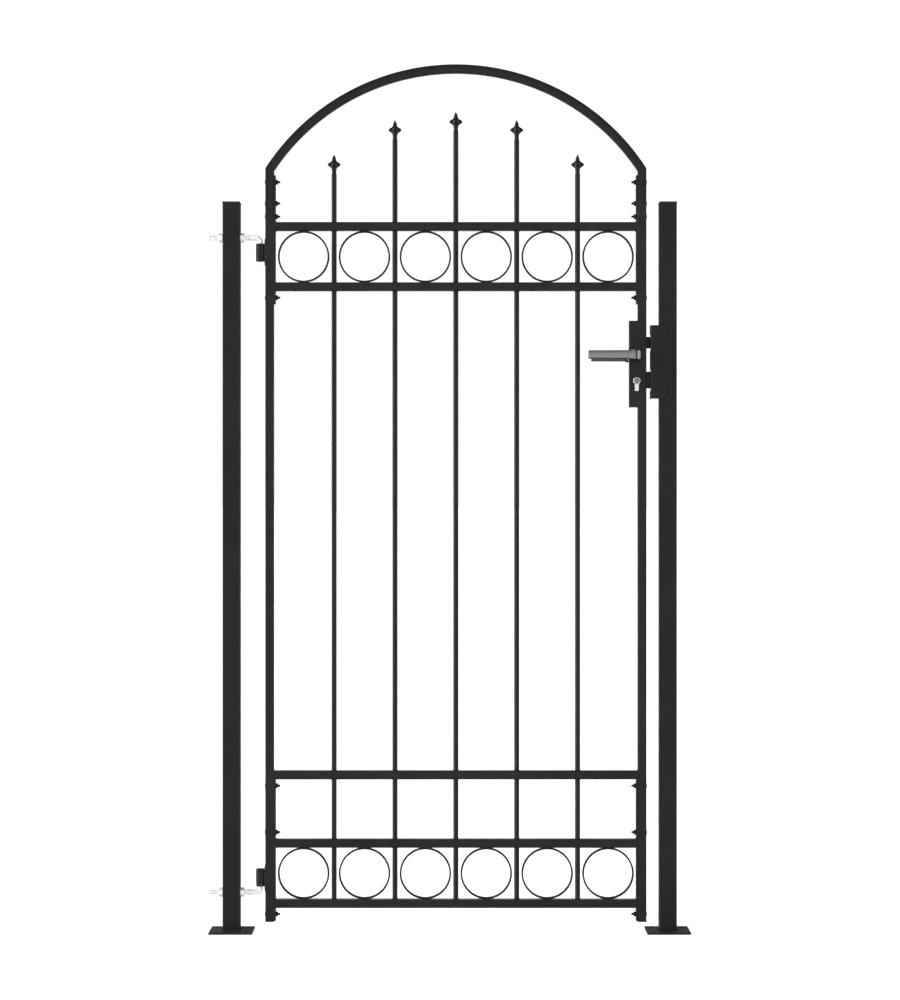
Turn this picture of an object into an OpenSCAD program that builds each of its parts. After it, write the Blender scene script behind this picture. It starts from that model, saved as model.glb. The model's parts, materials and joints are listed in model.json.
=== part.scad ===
// Arched steel garden gate: one leaf between two posts, with rod hinges and a lever lock.
// Origin: centre of the underside of the hinge post's base plate.
// +X runs from the hinge post to the latch post, +Y is the side the leaf opens to, +Z is up.

/* [Posts] */
// Outside width of each square post tube
post_w = 40; // [36:1:60]
// Wall of the post tube
post_wall = 1.5; // [1:0.5:4]
// How far the post tube's top lies below the leaf's outer corners
post_drop = 83; // [40:1:120]
// Clear width between the two posts
post_gap = 968.5; // [800:0.5:1300]
// Side of the square base plate
base_w = 100; // [90:1:160]
// Thickness of the base plate
base_t = 4; // [3:0.5:10]
// Diameter of each of the four holes in a base plate
base_hole_d = 11; // [8:0.5:14]
// Distance of a base hole's centre from the plate's edges
base_hole_inset = 15; // [12:1:20]
// Height of the cap above the post tube
cap_h = 5; // [3:0.5:12]
// How far the cap's rim stands past the tube
cap_lip = 0.3; // [0.2:0.1:2]
// Depth of the cap's stub inside the tube
cap_stub_h = 14; // [8:1:25]
// Wall of the cap's stub
cap_stub_wall = 2; // [1.5:0.5:4]
// Bevel round the top of the cap
cap_bevel = 1; // [0.5:0.5:3]

/* [Leaf frame] */
// Outside width of the square frame tube
tube_w = 20; // [16:1:30]
// Wall of the frame tube
tube_wall = 1.2; // [1:0.1:2.5]
// Gap from the hinge post to the leaf
hinge_gap = 58; // [50:1:90]
// Gap from the leaf to the latch post
latch_gap = 29.5; // [28:0.5:40]
// Height of the arch's crown above the ground
gate_h = 2005; // [1650:5:2450]
// Height of the leaf's lower end above the ground
leaf_bottom = 25; // [15:1:60]
// Rise of the arch above the outer corners, where it meets its legs
arch_rise = 240; // [190:1:320]
// Height of the outer corners above the top rail
leg_h = 124.5; // [100:0.5:160]
// Thickness of the flat bars inside the stiles
flat_bar_t = 4; // [3:0.5:6]
// How far the upper flat bars stop below the outer corners
flat_bar_drop = 16.5; // [12:0.5:24]
// Thickness of the plug in the lower end of each stile
plug_t = 2; // [1:0.5:4]
// Depth of the plug's stub inside the stile
plug_stub_h = 10; // [6:1:12]

/* [Rails, bars and rings] */
// Height of the bottom rail above the leaf's lower end
foot_h = 30; // [24:1:60]
// Clear height between the lower ring rail and the middle rail
lower_field_h = 138; // [60:1:300]
// Diameter of an upright bar
bar_d = 12; // [10:0.5:14]
// Wall of an upright bar's tube
bar_wall = 1.2; // [1:0.1:2]
// Radial clearance of a bar in a rail
bar_clear = 0.2; // [0.1:0.05:0.5]
// Gap between the two outer spear heads and the arch above them
outer_spear_gap = 101.5; // [60:0.5:110]
// Gap between the second and fourth spear heads and the arch
second_spear_gap = 87.5; // [40:0.5:180]
// Gap between the middle spear head and the arch
centre_spear_gap = 88.5; // [40:0.5:200]
// Gap between a ring and the bar or flat bar beside it
ring_side_gap = 4.9; // [1:0.1:20]
// Radial thickness of the flat strip of a ring
ring_t = 4; // [2:0.5:6]
// Width of the flat strip of a ring, along Y
ring_w = 12; // [8:1:18]
// Gap left between a ring and the rail it is welded to
ring_seat = 0.1; // [0.05:0.05:0.3]

/* [Spear heads] */
// Radius of the neck above the bar
neck_r = 4.5; // [3:0.1:5]
// Height of the neck above the bar's end
neck_z = 9; // [7:0.5:11]
// Height of the crown's middle above the bar's end
crown_z = 24.4; // [22:0.2:30]
// Radius over the crown's lobes
crown_r = 14.2; // [12:0.2:16]
// Radius of a lobe's round end
lobe_r = 4.8; // [3:0.2:5]
// Radius of the core at the crown
core_r = 7; // [6:0.2:9]
// Radius of the spike's foot
spike_r = 5; // [4:0.2:6]
// Radius of the spike's blunt point
point_r = 0.8; // [0.5:0.1:1.5]
// Height of the whole spear head
spear_h = 47.5; // [44:0.5:60]

/* [Stile bolts] */
// Diameter of a stile bolt
bolt_d = 6; // [5:0.5:8]
// Radial clearance of a stile bolt in its holes
bolt_clear = 0.3; // [0.2:0.1:0.5]
// Diameter of the low round head
bolt_head_d = 12.5; // [11:0.5:16]
// Height of the low round head
bolt_head_h = 1.8; // [1.5:0.1:3]
// Size across the nut's flats
nut_af = 10; // [9:0.5:13]
// Height of the nut
nut_h = 5; // [4:0.5:7]
// How far the bolt's end stands past the flat bar
bolt_reach = 10.4; // [8:0.2:14]
// Distance of a bolt from the nearest end, rail or joint
bolt_inset = 15.2; // [13:0.1:18]

/* [Hinges] */
// Diameter of the bent hinge rod
rod_d = 12; // [10:0.5:13]
// How far the upper hinge rod lies below the post tube's top
upper_rod_drop = 78; // [60:1:120]
// Height of the lower hinge rod
lower_rod_z = 91; // [88:1:110]
// Centreline radius of the rod's bend
bend_r = 10; // [9:0.5:14]
// Straight length of pin between the bend and the barrel
bend_clear = 3.2; // [1:0.1:6]
// How far the rod's plain end stands past the post
rod_tail = 34; // [20:1:60]
// Radial clearance of the rod in the post
rod_clear = 0.3; // [0.2:0.1:0.8]
// Size across the hinge nuts' flats
rod_nut_af = 19; // [18:0.5:24]
// Height of a hinge nut
rod_nut_h = 10; // [6:0.5:12]
// Outside diameter of a hinge barrel
barrel_d = 20; // [18:0.5:24]
// How much smaller the collar is across than the barrel
collar_step = 0.8; // [0.6:0.1:2]
// Length of a hinge barrel, with any collar under it
barrel_h = 41; // [34:1:60]
// Radial running clearance of the pin in the barrel
pin_clear = 0.1; // [0.05:0.01:0.1]
// How far the pin stops short of the barrel's far end
pin_short = 2; // [1:0.5:6]
// Height of the collar under the lower barrel
collar_h = 10; // [5:0.5:14]
// Gap between the collar and the lower barrel
collar_gap = 0.3; // [0.2:0.1:0.5]
// Thickness of the plate between a barrel and the stile
hinge_plate_t = 2; // [1.5:0.5:4]
// Width of that plate, along Y
hinge_plate_w = 16; // [10:1:16]
// How far that plate runs past the barrel at each end
hinge_plate_over = 12; // [6:0.5:12]
// Length of the tapered end of that plate
hinge_plate_taper = 9; // [4:0.5:11]

/* [Lock case] */
// Width of the lock case, along X
case_w = 40; // [36:1:48]
// Height of the lock case
case_h = 200; // [193:1:230]
// How far the lock case's top lies below the upper ring rail
case_drop = 69; // [30:1:500]
// Wall of the lock case
case_wall = 1.5; // [1:0.25:2]
// Distance of the spindle and the key cylinder from the leaf's edge
lock_backset = 23.5; // [21:0.1:25]
// Height of the spindle above the case's lower end
spindle_up = 119.2; // [114.5:0.1:121.5]
// Height of the key cylinder above the case's lower end
cylinder_up = 60.5; // [59.5:0.5:62.5]
// Diameter of the key cylinder's round part
cylinder_d = 17; // [16:0.5:17]
// Width of the key cylinder's leg
cylinder_leg_w = 10; // [9:0.5:10.5]
// Whole height of the key cylinder
cylinder_h = 33; // [30:0.5:33]
// Length of the key cylinder, front to back
cylinder_l = 54; // [40:1:70]
// Clearance round the key cylinder
cylinder_clear = 0.2; // [0.1:0.05:0.4]

/* [Bolts of the lock] */
// Thickness of both lock bolts, along Y
tongue_t = 8; // [6:0.5:9]
// Clearance round each lock bolt in the case's edge
tongue_clear = 0.4; // [0.3:0.1:0.8]
// How far both lock bolts stand out of the case
tongue_out = 15; // [13:0.5:16]
// Height of the latch bolt
latch_h = 26.4; // [18:0.2:28]
// Height of the latch bolt's middle above the case's lower end
latch_up = 149.9; // [148.5:0.2:154.5]
// Length of the latch bolt inside the case
latch_in = 16; // [14:0.5:17]
// Length of the slanted face of the latch bolt
latch_slant = 8; // [4:0.5:10]
// Height of the dead bolt
dead_h = 38.6; // [30:0.1:39]
// Height of the dead bolt's middle above the case's lower end
dead_up = 63.3; // [62.5:0.1:64.5]
// Length of the dead bolt's full-height part inside the case
dead_in = 1.8; // [1.6:0.1:2]
// Height of the dead bolt's tail
dead_tail_h = 8; // [6:0.5:8]
// Length of the dead bolt's tail
dead_tail_l = 20; // [12:1:21]

/* [Levers] */
// Length of the front lever from the spindle's axis to its free end
lever_len = 114; // [90:1:130]
// Length of the rear lever from the spindle's axis to its free end
rear_lever_len = 102; // [90:1:130]
// Height of the blade at its free end
lever_tip_h = 19.5; // [14:0.5:22]
// Height of the blade where it meets the hub
lever_root_h = 20.6; // [16:0.2:23]
// Corner radius of the blade's free end
lever_tip_r = 4.5; // [2:0.5:6]
// Thickness of the blade
lever_t = 9; // [7:0.5:12]
// Distance of the blade's outer face from the leaf's middle
lever_reach = 60; // [50:1:75]
// Height of the hub round the bend
hub_h = 24.5; // [23.5:0.5:28]
// How far the hub runs from the spindle's axis towards the blade
hub_l = 17; // [15:0.5:24]
// Corner radius of the hub
hub_r = 7; // [3:0.5:9]
// Radius of the outside of the bend
lever_bend_r = 16; // [12:0.5:20]
// Radius of the inside of the bend
lever_fillet_r = 8; // [4:0.5:12]
// Diameter of the neck
neck_d = 20.5; // [18:0.5:22]
// Gap between the neck and the lock case
neck_gap = 0.3; // [0.2:0.1:0.6]
// Size of the square spindle
spindle_w = 8; // [7:0.5:8]
// Length of the spindle, front to back
spindle_l = 84; // [60:1:90]
// Clearance of the spindle in a lever's neck
spindle_clear = 0.05; // [0.03:0.01:0.1]
// Clearance round the turning spindle in the lock case
spindle_turn_clear = 0.6; // [0.4:0.1:1]

/* [Keep] */
// Thickness of the folded keep plate
keep_t = 3; // [2:0.5:4]
// Height of the keep's lower end above the lock case's
keep_up = 19.5; // [10:0.5:24]
// Height of the keep
keep_h = 169.5; // [162:0.5:180]
// How far the keep stands out from the post towards the leaf
keep_out = 20.5; // [17:0.5:22]
// Width of the keep over the post's front face
keep_lap = 30; // [20:1:38]
// Depth of the keep's leg behind its front plate
keep_leg = 32; // [26:1:40]
// Gap in front of each lock bolt in the keep
keep_front_gap = 6; // [5:0.5:10]
// Gap above and below each lock bolt in the keep
keep_slot_gap = 5; // [5:0.5:7]
// Diameter of a keep screw
keep_screw_d = 5; // [4:0.5:6]
// Diameter of a keep screw's head
keep_screw_head_d = 10; // [8:0.5:12]
// Height of a keep screw's head
keep_screw_head_h = 2.5; // [2:0.5:4]
// Distance of a keep screw from the keep's ends
keep_screw_inset = 16; // [10:1:20]

/* [Hidden] */
$fn = 64;
steel = "#323236";
post_steel = "#2c2e30";
zinc = "#d8dadc";
satin = "#8c878c";
chrome = "#e6e6ea";
plastic = "#1e1e20";
// Overcut for clean boolean faces
cut = 1;

// Posts
post_x = [0, post_gap + post_w];
post_face_x = post_w / 2;
keep_post_face_x = post_x[1] - post_w / 2;

// Leaf outline: the arch's outer radius follows from the half width and the rise
leaf_x0 = post_face_x + hinge_gap;
leaf_x1 = keep_post_face_x - latch_gap;
leaf_mid_x = (leaf_x0 + leaf_x1) / 2;
leaf_half = (leaf_x1 - leaf_x0) / 2;
shoulder_z = gate_h - arch_rise;
post_top = shoulder_z - post_drop;
arch_r = (leaf_half * leaf_half + arch_rise * arch_rise) / (2 * arch_rise);
arch_centre_z = shoulder_z + arch_rise - arch_r;
stile_in_x0 = leaf_x0 + tube_w;
stile_in_x1 = leaf_x1 - tube_w;
field_x0 = stile_in_x0 + flat_bar_t;
field_x1 = stile_in_x1 - flat_bar_t;
function arch_under_z(x) =
    arch_centre_z + sqrt((arch_r - tube_w) * (arch_r - tube_w) - (x - leaf_mid_x) * (x - leaf_mid_x));

// Bars and bays: the rings fill the bays, and the rows of rings are as high as a ring
bar_count = 5;
bay = (field_x1 - field_x0 - bar_count * bar_d) / (bar_count + 1);
function bar_x(i) = field_x0 + bay * (i + 1) + bar_d * (i + 0.5);
function bay_x(i) = field_x0 + bay / 2 + i * (bay + bar_d);
ring_r = bay / 2 - ring_side_gap;
ring_row_h = 2 * (ring_r + ring_seat);
spear_gaps = [outer_spear_gap, second_spear_gap, centre_spear_gap, second_spear_gap, outer_spear_gap];
function bar_top(i) = arch_under_z(bar_x(i)) - spear_gaps[i] - spear_h;

// Lower faces of the rails
bottom_rail_z = leaf_bottom + foot_h;
lower_ring_rail_z = bottom_rail_z + tube_w + ring_row_h;
middle_rail_z = lower_ring_rail_z + tube_w + lower_field_h;
top_rail_z = shoulder_z - leg_h - tube_w;
upper_ring_rail_z = top_rail_z - ring_row_h - tube_w;
bar_foot_z = bottom_rail_z + tube_wall;

// Stile bolts, from the top: two in the arch's leg, two in the upper stile, three in the lower stile
upper_flat_bar_z = upper_ring_rail_z - 2 * bolt_inset;
upper_flat_bar_top = shoulder_z - flat_bar_drop;
arch_joint_z = top_rail_z + tube_w + 2 * bolt_inset - 2;
bolt_zs = [
    upper_flat_bar_top - bolt_inset,
    arch_joint_z + bolt_inset,
    arch_joint_z - bolt_inset,
    upper_flat_bar_z + bolt_inset,
    middle_rail_z - bolt_inset,
    lower_ring_rail_z + tube_w + bolt_inset,
    leaf_bottom + bolt_inset
];

// Hinges
rod_r = rod_d / 2;
axis_x = leaf_x0 - hinge_plate_t - barrel_d / 2;
upper_rod_z = post_top - upper_rod_drop;
upper_barrel_top = upper_rod_z - bend_r - bend_clear;
upper_barrel_z = upper_barrel_top - barrel_h;
collar_z = lower_rod_z + bend_r + bend_clear;
lower_barrel_z = collar_z + collar_h + collar_gap;
lower_barrel_top = collar_z + barrel_h;

// Lock and keep
case_x0 = leaf_x1 - case_w;
case_z = upper_ring_rail_z - case_drop - case_h;
lock_x = leaf_x1 - lock_backset;
spindle_z = case_z + spindle_up;
cylinder_z = case_z + cylinder_up;
neck_y0 = tube_w / 2 + neck_gap;
latch_z = case_z + latch_up;
dead_z = case_z + dead_up;
keep_x = keep_post_face_x - keep_out;
keep_y = -post_w / 2 - keep_t;
keep_z = case_z + keep_up;
keep_screw_x = keep_post_face_x + keep_lap / 2;
keep_screw_zs = [keep_z + keep_screw_inset, keep_z + keep_h - keep_screw_inset];

// A square tube along Z, standing on z = 0
module square_tube(w, wall, h) {
    difference() {
        translate([-w / 2, -w / 2, 0]) cube([w, w, h]);
        translate([-w / 2 + wall, -w / 2 + wall, -cut]) cube([w - 2 * wall, w - 2 * wall, h + 2 * cut]);
    }
}

// A round bar or hole along X, from x = 0
module rod_x(d, l) {
    rotate([0, 90, 0]) cylinder(d = d, h = l);
}

// A hexagon nut along X, from x = 0, with its bore
module hex_nut_x(af, h, bore_d) {
    rotate([0, 90, 0]) difference() {
        cylinder(d = af / cos(30), h = h, $fn = 6);
        translate([0, 0, -cut]) cylinder(d = bore_d, h = h + 2 * cut);
    }
}

module hinge_post() {
    color(post_steel) difference() {
        translate([post_x[0], 0, base_t]) square_tube(post_w, post_wall, post_top - base_t);
        for (z = [upper_rod_z, lower_rod_z])
            translate([-post_w, 0, z]) rod_x(rod_d + 2 * rod_clear, 2 * post_w);
    }
}

module latch_post() {
    color(post_steel) difference() {
        translate([post_x[1], 0, base_t]) square_tube(post_w, post_wall, post_top - base_t);
        for (z = keep_screw_zs)
            translate([keep_screw_x, -post_w / 2 - cut, z]) rotate([-90, 0, 0])
                cylinder(d = keep_screw_d + 2 * bolt_clear, h = post_wall + 2 * cut);
    }
}

module base_plate(x) {
    hole = base_w / 2 - base_hole_inset;
    color(post_steel) translate([x, 0, 0]) difference() {
        translate([-base_w / 2, -base_w / 2, 0]) cube([base_w, base_w, base_t]);
        for (sx = [-1, 1])
            for (sy = [-1, 1])
                translate([sx * hole, sy * hole, -cut]) cylinder(d = base_hole_d, h = base_t + 2 * cut);
    }
}

// A flat cap with a bevelled rim and a hollow stub in the tube
module post_cap() {
    rim = post_w + 2 * cap_lip;
    stub = post_w - 2 * post_wall - 0.6;
    difference() {
        translate([-rim / 2, -rim / 2, 0]) cube([rim, rim, cap_h]);
        for (a = [0:90:270])
            rotate([0, 0, a]) translate([rim / 2, 0, cap_h - cap_bevel])
                rotate([0, -45, 0]) translate([0, -rim, 0]) cube([rim, 2 * rim, rim]);
    }
    translate([0, 0, -cap_stub_h]) square_tube(stub, cap_stub_wall, cap_stub_h + cap_h / 2);
}

module post_caps() {
    color(plastic) for (x = post_x)
        translate([x, 0, post_top]) post_cap();
}

// A rod through the post that bends into an upright pin; dir is -1 for a pin that points down
module hinge_rod(z, dir) {
    pin_l = bend_clear + barrel_h - pin_short;
    color(zinc) translate([0, 0, z]) mirror([0, 0, dir < 0 ? 1 : 0]) {
        translate([-post_w / 2 - rod_tail, 0, 0]) rod_x(rod_d, post_w / 2 + rod_tail + axis_x - bend_r);
        translate([axis_x - bend_r, 0, bend_r]) rotate([90, 0, 0])
            rotate([0, 0, -90]) rotate_extrude(angle = 90) translate([bend_r, 0]) circle(d = rod_d);
        translate([axis_x, 0, bend_r]) cylinder(d = rod_d, h = pin_l);
    }
}

module hinge_nuts() {
    color(zinc) for (z = [upper_rod_z, lower_rod_z])
        for (x = [-post_face_x - rod_nut_h, post_face_x])
            translate([x, 0, z]) hex_nut_x(rod_nut_af, rod_nut_h, rod_d + 2 * pin_clear);
}

module barrel(z, h, d) {
    translate([axis_x, 0, z]) difference() {
        cylinder(d = d, h = h);
        translate([0, 0, -cut]) cylinder(d = rod_d + 2 * pin_clear, h = h + 2 * cut);
    }
}

module lower_hinge_collar() {
    color(plastic) barrel(collar_z, collar_h, barrel_d - collar_step);
}

module upper_hinge_barrel() {
    color(steel) barrel(upper_barrel_z, barrel_h, barrel_d);
}

module lower_hinge_barrel() {
    color(steel) barrel(lower_barrel_z, lower_barrel_top - lower_barrel_z, barrel_d);
}

// A narrow plate behind a barrel, tapered to the stile at both ends
module hinge_plate(z0, z1) {
    x0 = leaf_x0 - hinge_plate_t;
    translate([0, hinge_plate_w / 2, 0]) rotate([90, 0, 0]) linear_extrude(hinge_plate_w) polygon([
        [leaf_x0, z0], [leaf_x0, z1], [leaf_x0 - 0.4, z1],
        [x0, z1 - hinge_plate_taper], [x0, z0 + hinge_plate_taper], [leaf_x0 - 0.4, z0]
    ]);
}

module hinge_plates() {
    color(steel) {
        hinge_plate(upper_barrel_z - hinge_plate_over, upper_barrel_top + hinge_plate_over);
        hinge_plate(collar_z - hinge_plate_over, lower_barrel_top + hinge_plate_over);
    }
}

// The filled outline of the leaf's head, inset by d from the tube's outer face
module head_outline(d) {
    intersection() {
        translate([leaf_mid_x, arch_centre_z]) circle(r = arch_r - d, $fn = 256);
        translate([leaf_x0 + d, arch_joint_z]) square([leaf_x1 - leaf_x0 - 2 * d, arch_r + arch_rise]);
    }
}

// The same outline with its lower end moved past the joint, to cut with
module head_cutter(d) {
    intersection() {
        translate([leaf_mid_x, arch_centre_z]) circle(r = arch_r - d, $fn = 256);
        translate([leaf_x0 + d, arch_joint_z - cut]) square([leaf_x1 - leaf_x0 - 2 * d, arch_r + arch_rise]);
    }
}

// Stands a flat XZ drawing up as a plate of thickness t, centred on y = 0
module upright(t) {
    translate([0, t / 2, 0]) rotate([90, 0, 0]) linear_extrude(t) children();
}

module stile_bolt_holes(zs) {
    for (z = zs)
        translate([leaf_x0 - cut, 0, z]) rod_x(bolt_d + 2 * bolt_clear, leaf_x1 - leaf_x0 + 2 * cut);
}

// The arch and its two short legs: one welded tube with mitred corners
module arch() {
    color(steel) difference() {
        upright(tube_w) difference() {
            head_outline(0);
            head_cutter(tube_w);
        }
        upright(tube_w - 2 * tube_wall) difference() {
            head_cutter(tube_wall);
            head_cutter(tube_w - tube_wall);
        }
        stile_bolt_holes([bolt_zs[0], bolt_zs[1]]);
    }
}

module stile_tube(x, z0, z1) {
    color(steel) difference() {
        translate([x, 0, z0]) square_tube(tube_w, tube_wall, z1 - z0);
        stile_bolt_holes(bolt_zs);
    }
}

module left_stile() {
    stile_tube(leaf_x0 + tube_w / 2, leaf_bottom, arch_joint_z);
}

module right_stile_upper() {
    stile_tube(leaf_x1 - tube_w / 2, case_z + case_h, arch_joint_z);
}

module right_stile_lower() {
    stile_tube(leaf_x1 - tube_w / 2, leaf_bottom, case_z);
}

module stile_plugs() {
    stub = tube_w - 2 * tube_wall - 0.4;
    color(plastic) for (x = [leaf_x0 + tube_w / 2, leaf_x1 - tube_w / 2])
        translate([x, 0, leaf_bottom]) {
            translate([-tube_w / 2, -tube_w / 2, -plug_t]) cube([tube_w, tube_w, plug_t]);
            translate([0, 0, -plug_t / 2]) square_tube(stub, plug_t, plug_stub_h + plug_t / 2);
        }
}

// A flat bar that lies against the inner face of a stile
module flat_bar(x, z0, z1) {
    color(steel) difference() {
        translate([x, -tube_w / 2, z0]) cube([flat_bar_t, tube_w, z1 - z0]);
        stile_bolt_holes(bolt_zs);
    }
}

// A rail from x0 to x1 with holes for the bars; the bottom rail's holes are in its upper wall only
module rail(z, x0, x1, through) {
    hole_z = through ? z - cut : z + tube_w / 2;
    color(steel) difference() {
        translate([x0, 0, z + tube_w / 2]) rotate([0, 90, 0]) square_tube(tube_w, tube_wall, x1 - x0);
        for (i = [0:bar_count - 1])
            translate([bar_x(i), 0, hole_z]) cylinder(d = bar_d + 2 * bar_clear, h = tube_w + 2 * cut);
    }
}

module upright_bar(i) {
    color(steel) translate([bar_x(i), 0, bar_foot_z]) difference() {
        cylinder(d = bar_d, h = bar_top(i) - bar_foot_z);
        translate([0, 0, -cut]) cylinder(d = bar_d - 2 * bar_wall, h = bar_top(i) - bar_foot_z + 2 * cut);
    }
}

// A cast spear head: waisted neck, flared crown with four lobes, and a spike
module spear_head() {
    flare_z = crown_z - lobe_r - 2.5;
    shelf_z = crown_z + lobe_r + 1.5;
    rotate_extrude() polygon([
        [0, 0], [bar_d / 2, 0], [neck_r, neck_z], [neck_r + 0.3, flare_z - 5], [core_r, flare_z],
        [core_r + 2, crown_z], [core_r, crown_z + lobe_r], [spike_r, shelf_z],
        [spike_r - 0.6, shelf_z + 6], [point_r, spear_h], [0, spear_h]
    ]);
    for (a = [0:90:270])
        rotate([0, 0, a]) translate([0, 0, crown_z]) {
            translate([crown_r - lobe_r, 0, 0]) sphere(r = lobe_r);
            rod_x(1.8 * lobe_r, crown_r - lobe_r);
        }
}

module spear_heads() {
    color(steel) for (i = [0:bar_count - 1])
        translate([bar_x(i), 0, bar_top(i)]) spear_head();
}

// One row of rings, one in each bay
module ring_row(z) {
    color(steel) for (i = [0:bar_count])
        translate([bay_x(i), ring_w / 2, z + ring_row_h / 2]) rotate([90, 0, 0]) difference() {
            cylinder(r = ring_r, h = ring_w, $fn = 128);
            translate([0, 0, -cut]) cylinder(r = ring_r - ring_t, h = ring_w + 2 * cut, $fn = 128);
        }
}

// A bolt along X through one stile and its flat bar; its head starts at x = 0
module stile_bolt() {
    dome_r = (bolt_head_d * bolt_head_d / 4 + bolt_head_h * bolt_head_h) / (2 * bolt_head_h);
    intersection() {
        translate([dome_r - bolt_head_h, 0, 0]) sphere(r = dome_r, $fn = 96);
        translate([-bolt_head_h, 0, 0]) rod_x(bolt_head_d, bolt_head_h);
    }
    rod_x(bolt_d, tube_w + flat_bar_t + bolt_reach);
}

module on_both_stiles() {
    for (z = bolt_zs) {
        translate([leaf_x0, 0, z]) children();
        translate([leaf_x1, 0, z]) mirror([1, 0, 0]) children();
    }
}

module stile_bolts() {
    color(steel) on_both_stiles() stile_bolt();
}

module stile_nuts() {
    color(steel) on_both_stiles()
        translate([tube_w + flat_bar_t, 0, 0]) hex_nut_x(nut_af, nut_h, bolt_d + 0.1);
}

// The profile of the key cylinder: a round part over a leg with a round foot, grown by d
module cylinder_profile(d) {
    circle(d = cylinder_d + 2 * d);
    foot_y = cylinder_d / 2 - cylinder_h + cylinder_leg_w / 2;
    translate([-cylinder_leg_w / 2 - d, foot_y]) square([cylinder_leg_w + 2 * d, -foot_y]);
    translate([0, foot_y]) circle(d = cylinder_leg_w + 2 * d);
}

module lock_case() {
    inner_w = tube_w - 2 * case_wall;
    spindle_hole_d = spindle_w * sqrt(2) + 2 * spindle_turn_clear;
    color(steel) difference() {
        translate([case_x0, -tube_w / 2, case_z]) cube([case_w, tube_w, case_h]);
        translate([case_x0 + case_wall, -inner_w / 2, case_z + case_wall])
            cube([case_w - 2 * case_wall, inner_w, case_h - 2 * case_wall]);
        translate([lock_x, tube_w / 2 + cut, spindle_z]) rotate([90, 0, 0])
            cylinder(d = spindle_hole_d, h = tube_w + 2 * cut);
        translate([lock_x, 0, cylinder_z]) upright(tube_w + 2 * cut) cylinder_profile(cylinder_clear);
        tongue_slot(latch_z, latch_h);
        tongue_slot(dead_z, dead_h);
    }
}

// The slot in the lock case's edge for one lock bolt
module tongue_slot(z, h) {
    y = tongue_t / 2 + tongue_clear;
    translate([leaf_x1 - case_wall - cut, -y, z - h / 2 - tongue_clear])
        cube([case_wall + 2 * cut, 2 * y, h + 2 * tongue_clear]);
}

module key_cylinder() {
    color(chrome) translate([lock_x, 0, cylinder_z]) upright(cylinder_l) cylinder_profile(0);
}

// The lever's outline from above, with the spindle's axis at x = 0 and the blade towards -X
module lever_plan(len) {
    bend_x = neck_d / 2 - lever_bend_r;
    bend_y = lever_reach - lever_bend_r;
    fillet_x = -neck_d / 2 - lever_fillet_r;
    fillet_y = lever_reach - lever_t - lever_fillet_r;
    translate([-len, lever_reach - lever_t]) square([len + bend_x, lever_t]);
    translate([-neck_d / 2, neck_y0]) square([neck_d, bend_y - neck_y0]);
    intersection() {
        translate([bend_x, bend_y]) circle(r = lever_bend_r);
        translate([-neck_d / 2, bend_y]) square([neck_d, lever_bend_r]);
    }
    difference() {
        translate([fillet_x, fillet_y]) square(lever_fillet_r + cut);
        translate([fillet_x, fillet_y]) circle(r = lever_fillet_r);
    }
}

// The lever's outline from the front: the tapered blade and the hub
module lever_front(len) {
    tip_x = lever_tip_r - len;
    tip_y = lever_tip_h / 2 - lever_tip_r;
    hub_x = neck_d / 2 - hub_r;
    hub_y = hub_h / 2 - hub_r;
    polygon([
        [0, lever_root_h / 2], [tip_x, lever_tip_h / 2], [-len, tip_y],
        [-len, -tip_y], [tip_x, -lever_tip_h / 2], [0, -lever_root_h / 2]
    ]);
    translate([-hub_l, -hub_y]) square([hub_l + neck_d / 2, 2 * hub_y]);
    translate([hub_r - hub_l, -hub_h / 2]) square([hub_l - 2 * hub_r + neck_d / 2, hub_h]);
    for (sy = [-1, 1]) {
        translate([tip_x, sy * tip_y]) circle(r = lever_tip_r);
        translate([hub_r - hub_l, sy * hub_y]) circle(r = hub_r);
        translate([hub_x, sy * hub_y]) circle(r = hub_r);
    }
}

// One lever; side is -1 for the front
module lever(side, len) {
    socket_w = spindle_w + 2 * spindle_clear;
    color(satin) translate([lock_x, 0, spindle_z]) mirror([0, side < 0 ? 1 : 0, 0]) difference() {
        intersection() {
            translate([0, 0, -hub_h]) linear_extrude(2 * hub_h) lever_plan(len);
            union() {
                translate([0, lever_reach + cut, 0]) rotate([90, 0, 0])
                    linear_extrude(lever_bend_r + cut) lever_front(len);
                translate([0, lever_reach + cut, 0]) rotate([90, 0, 0]) cylinder(d = neck_d, h = lever_reach);
            }
        }
        translate([-socket_w / 2, neck_y0 - cut, -socket_w / 2])
            cube([socket_w, spindle_l / 2 - neck_y0 + cut + spindle_clear, socket_w]);
    }
}

module spindle() {
    color(zinc) translate([lock_x - spindle_w / 2, -spindle_l / 2, spindle_z - spindle_w / 2])
        cube([spindle_w, spindle_l, spindle_w]);
}

// The latch bolt's outer end is slanted on the side that meets the keep when the leaf closes
module latch_bolt() {
    y = tongue_t / 2;
    tip_x = leaf_x1 + tongue_out;
    color(steel) translate([0, 0, latch_z - latch_h / 2]) linear_extrude(latch_h) polygon([
        [leaf_x1 - latch_in, -y], [tip_x - latch_slant, -y], [tip_x, y - 2],
        [tip_x, y], [leaf_x1 - latch_in, y]
    ]);
}

// The dead bolt has a full-height head and a low tail that passes over the key cylinder
module dead_bolt() {
    y = tongue_t / 2;
    color(steel) {
        translate([leaf_x1 - dead_in, -y, dead_z - dead_h / 2]) cube([dead_in + tongue_out, tongue_t, dead_h]);
        translate([leaf_x1 - dead_in - dead_tail_l, -y, dead_z + dead_h / 2 - dead_tail_h])
            cube([dead_tail_l + cut, tongue_t, dead_tail_h]);
    }
}

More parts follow.
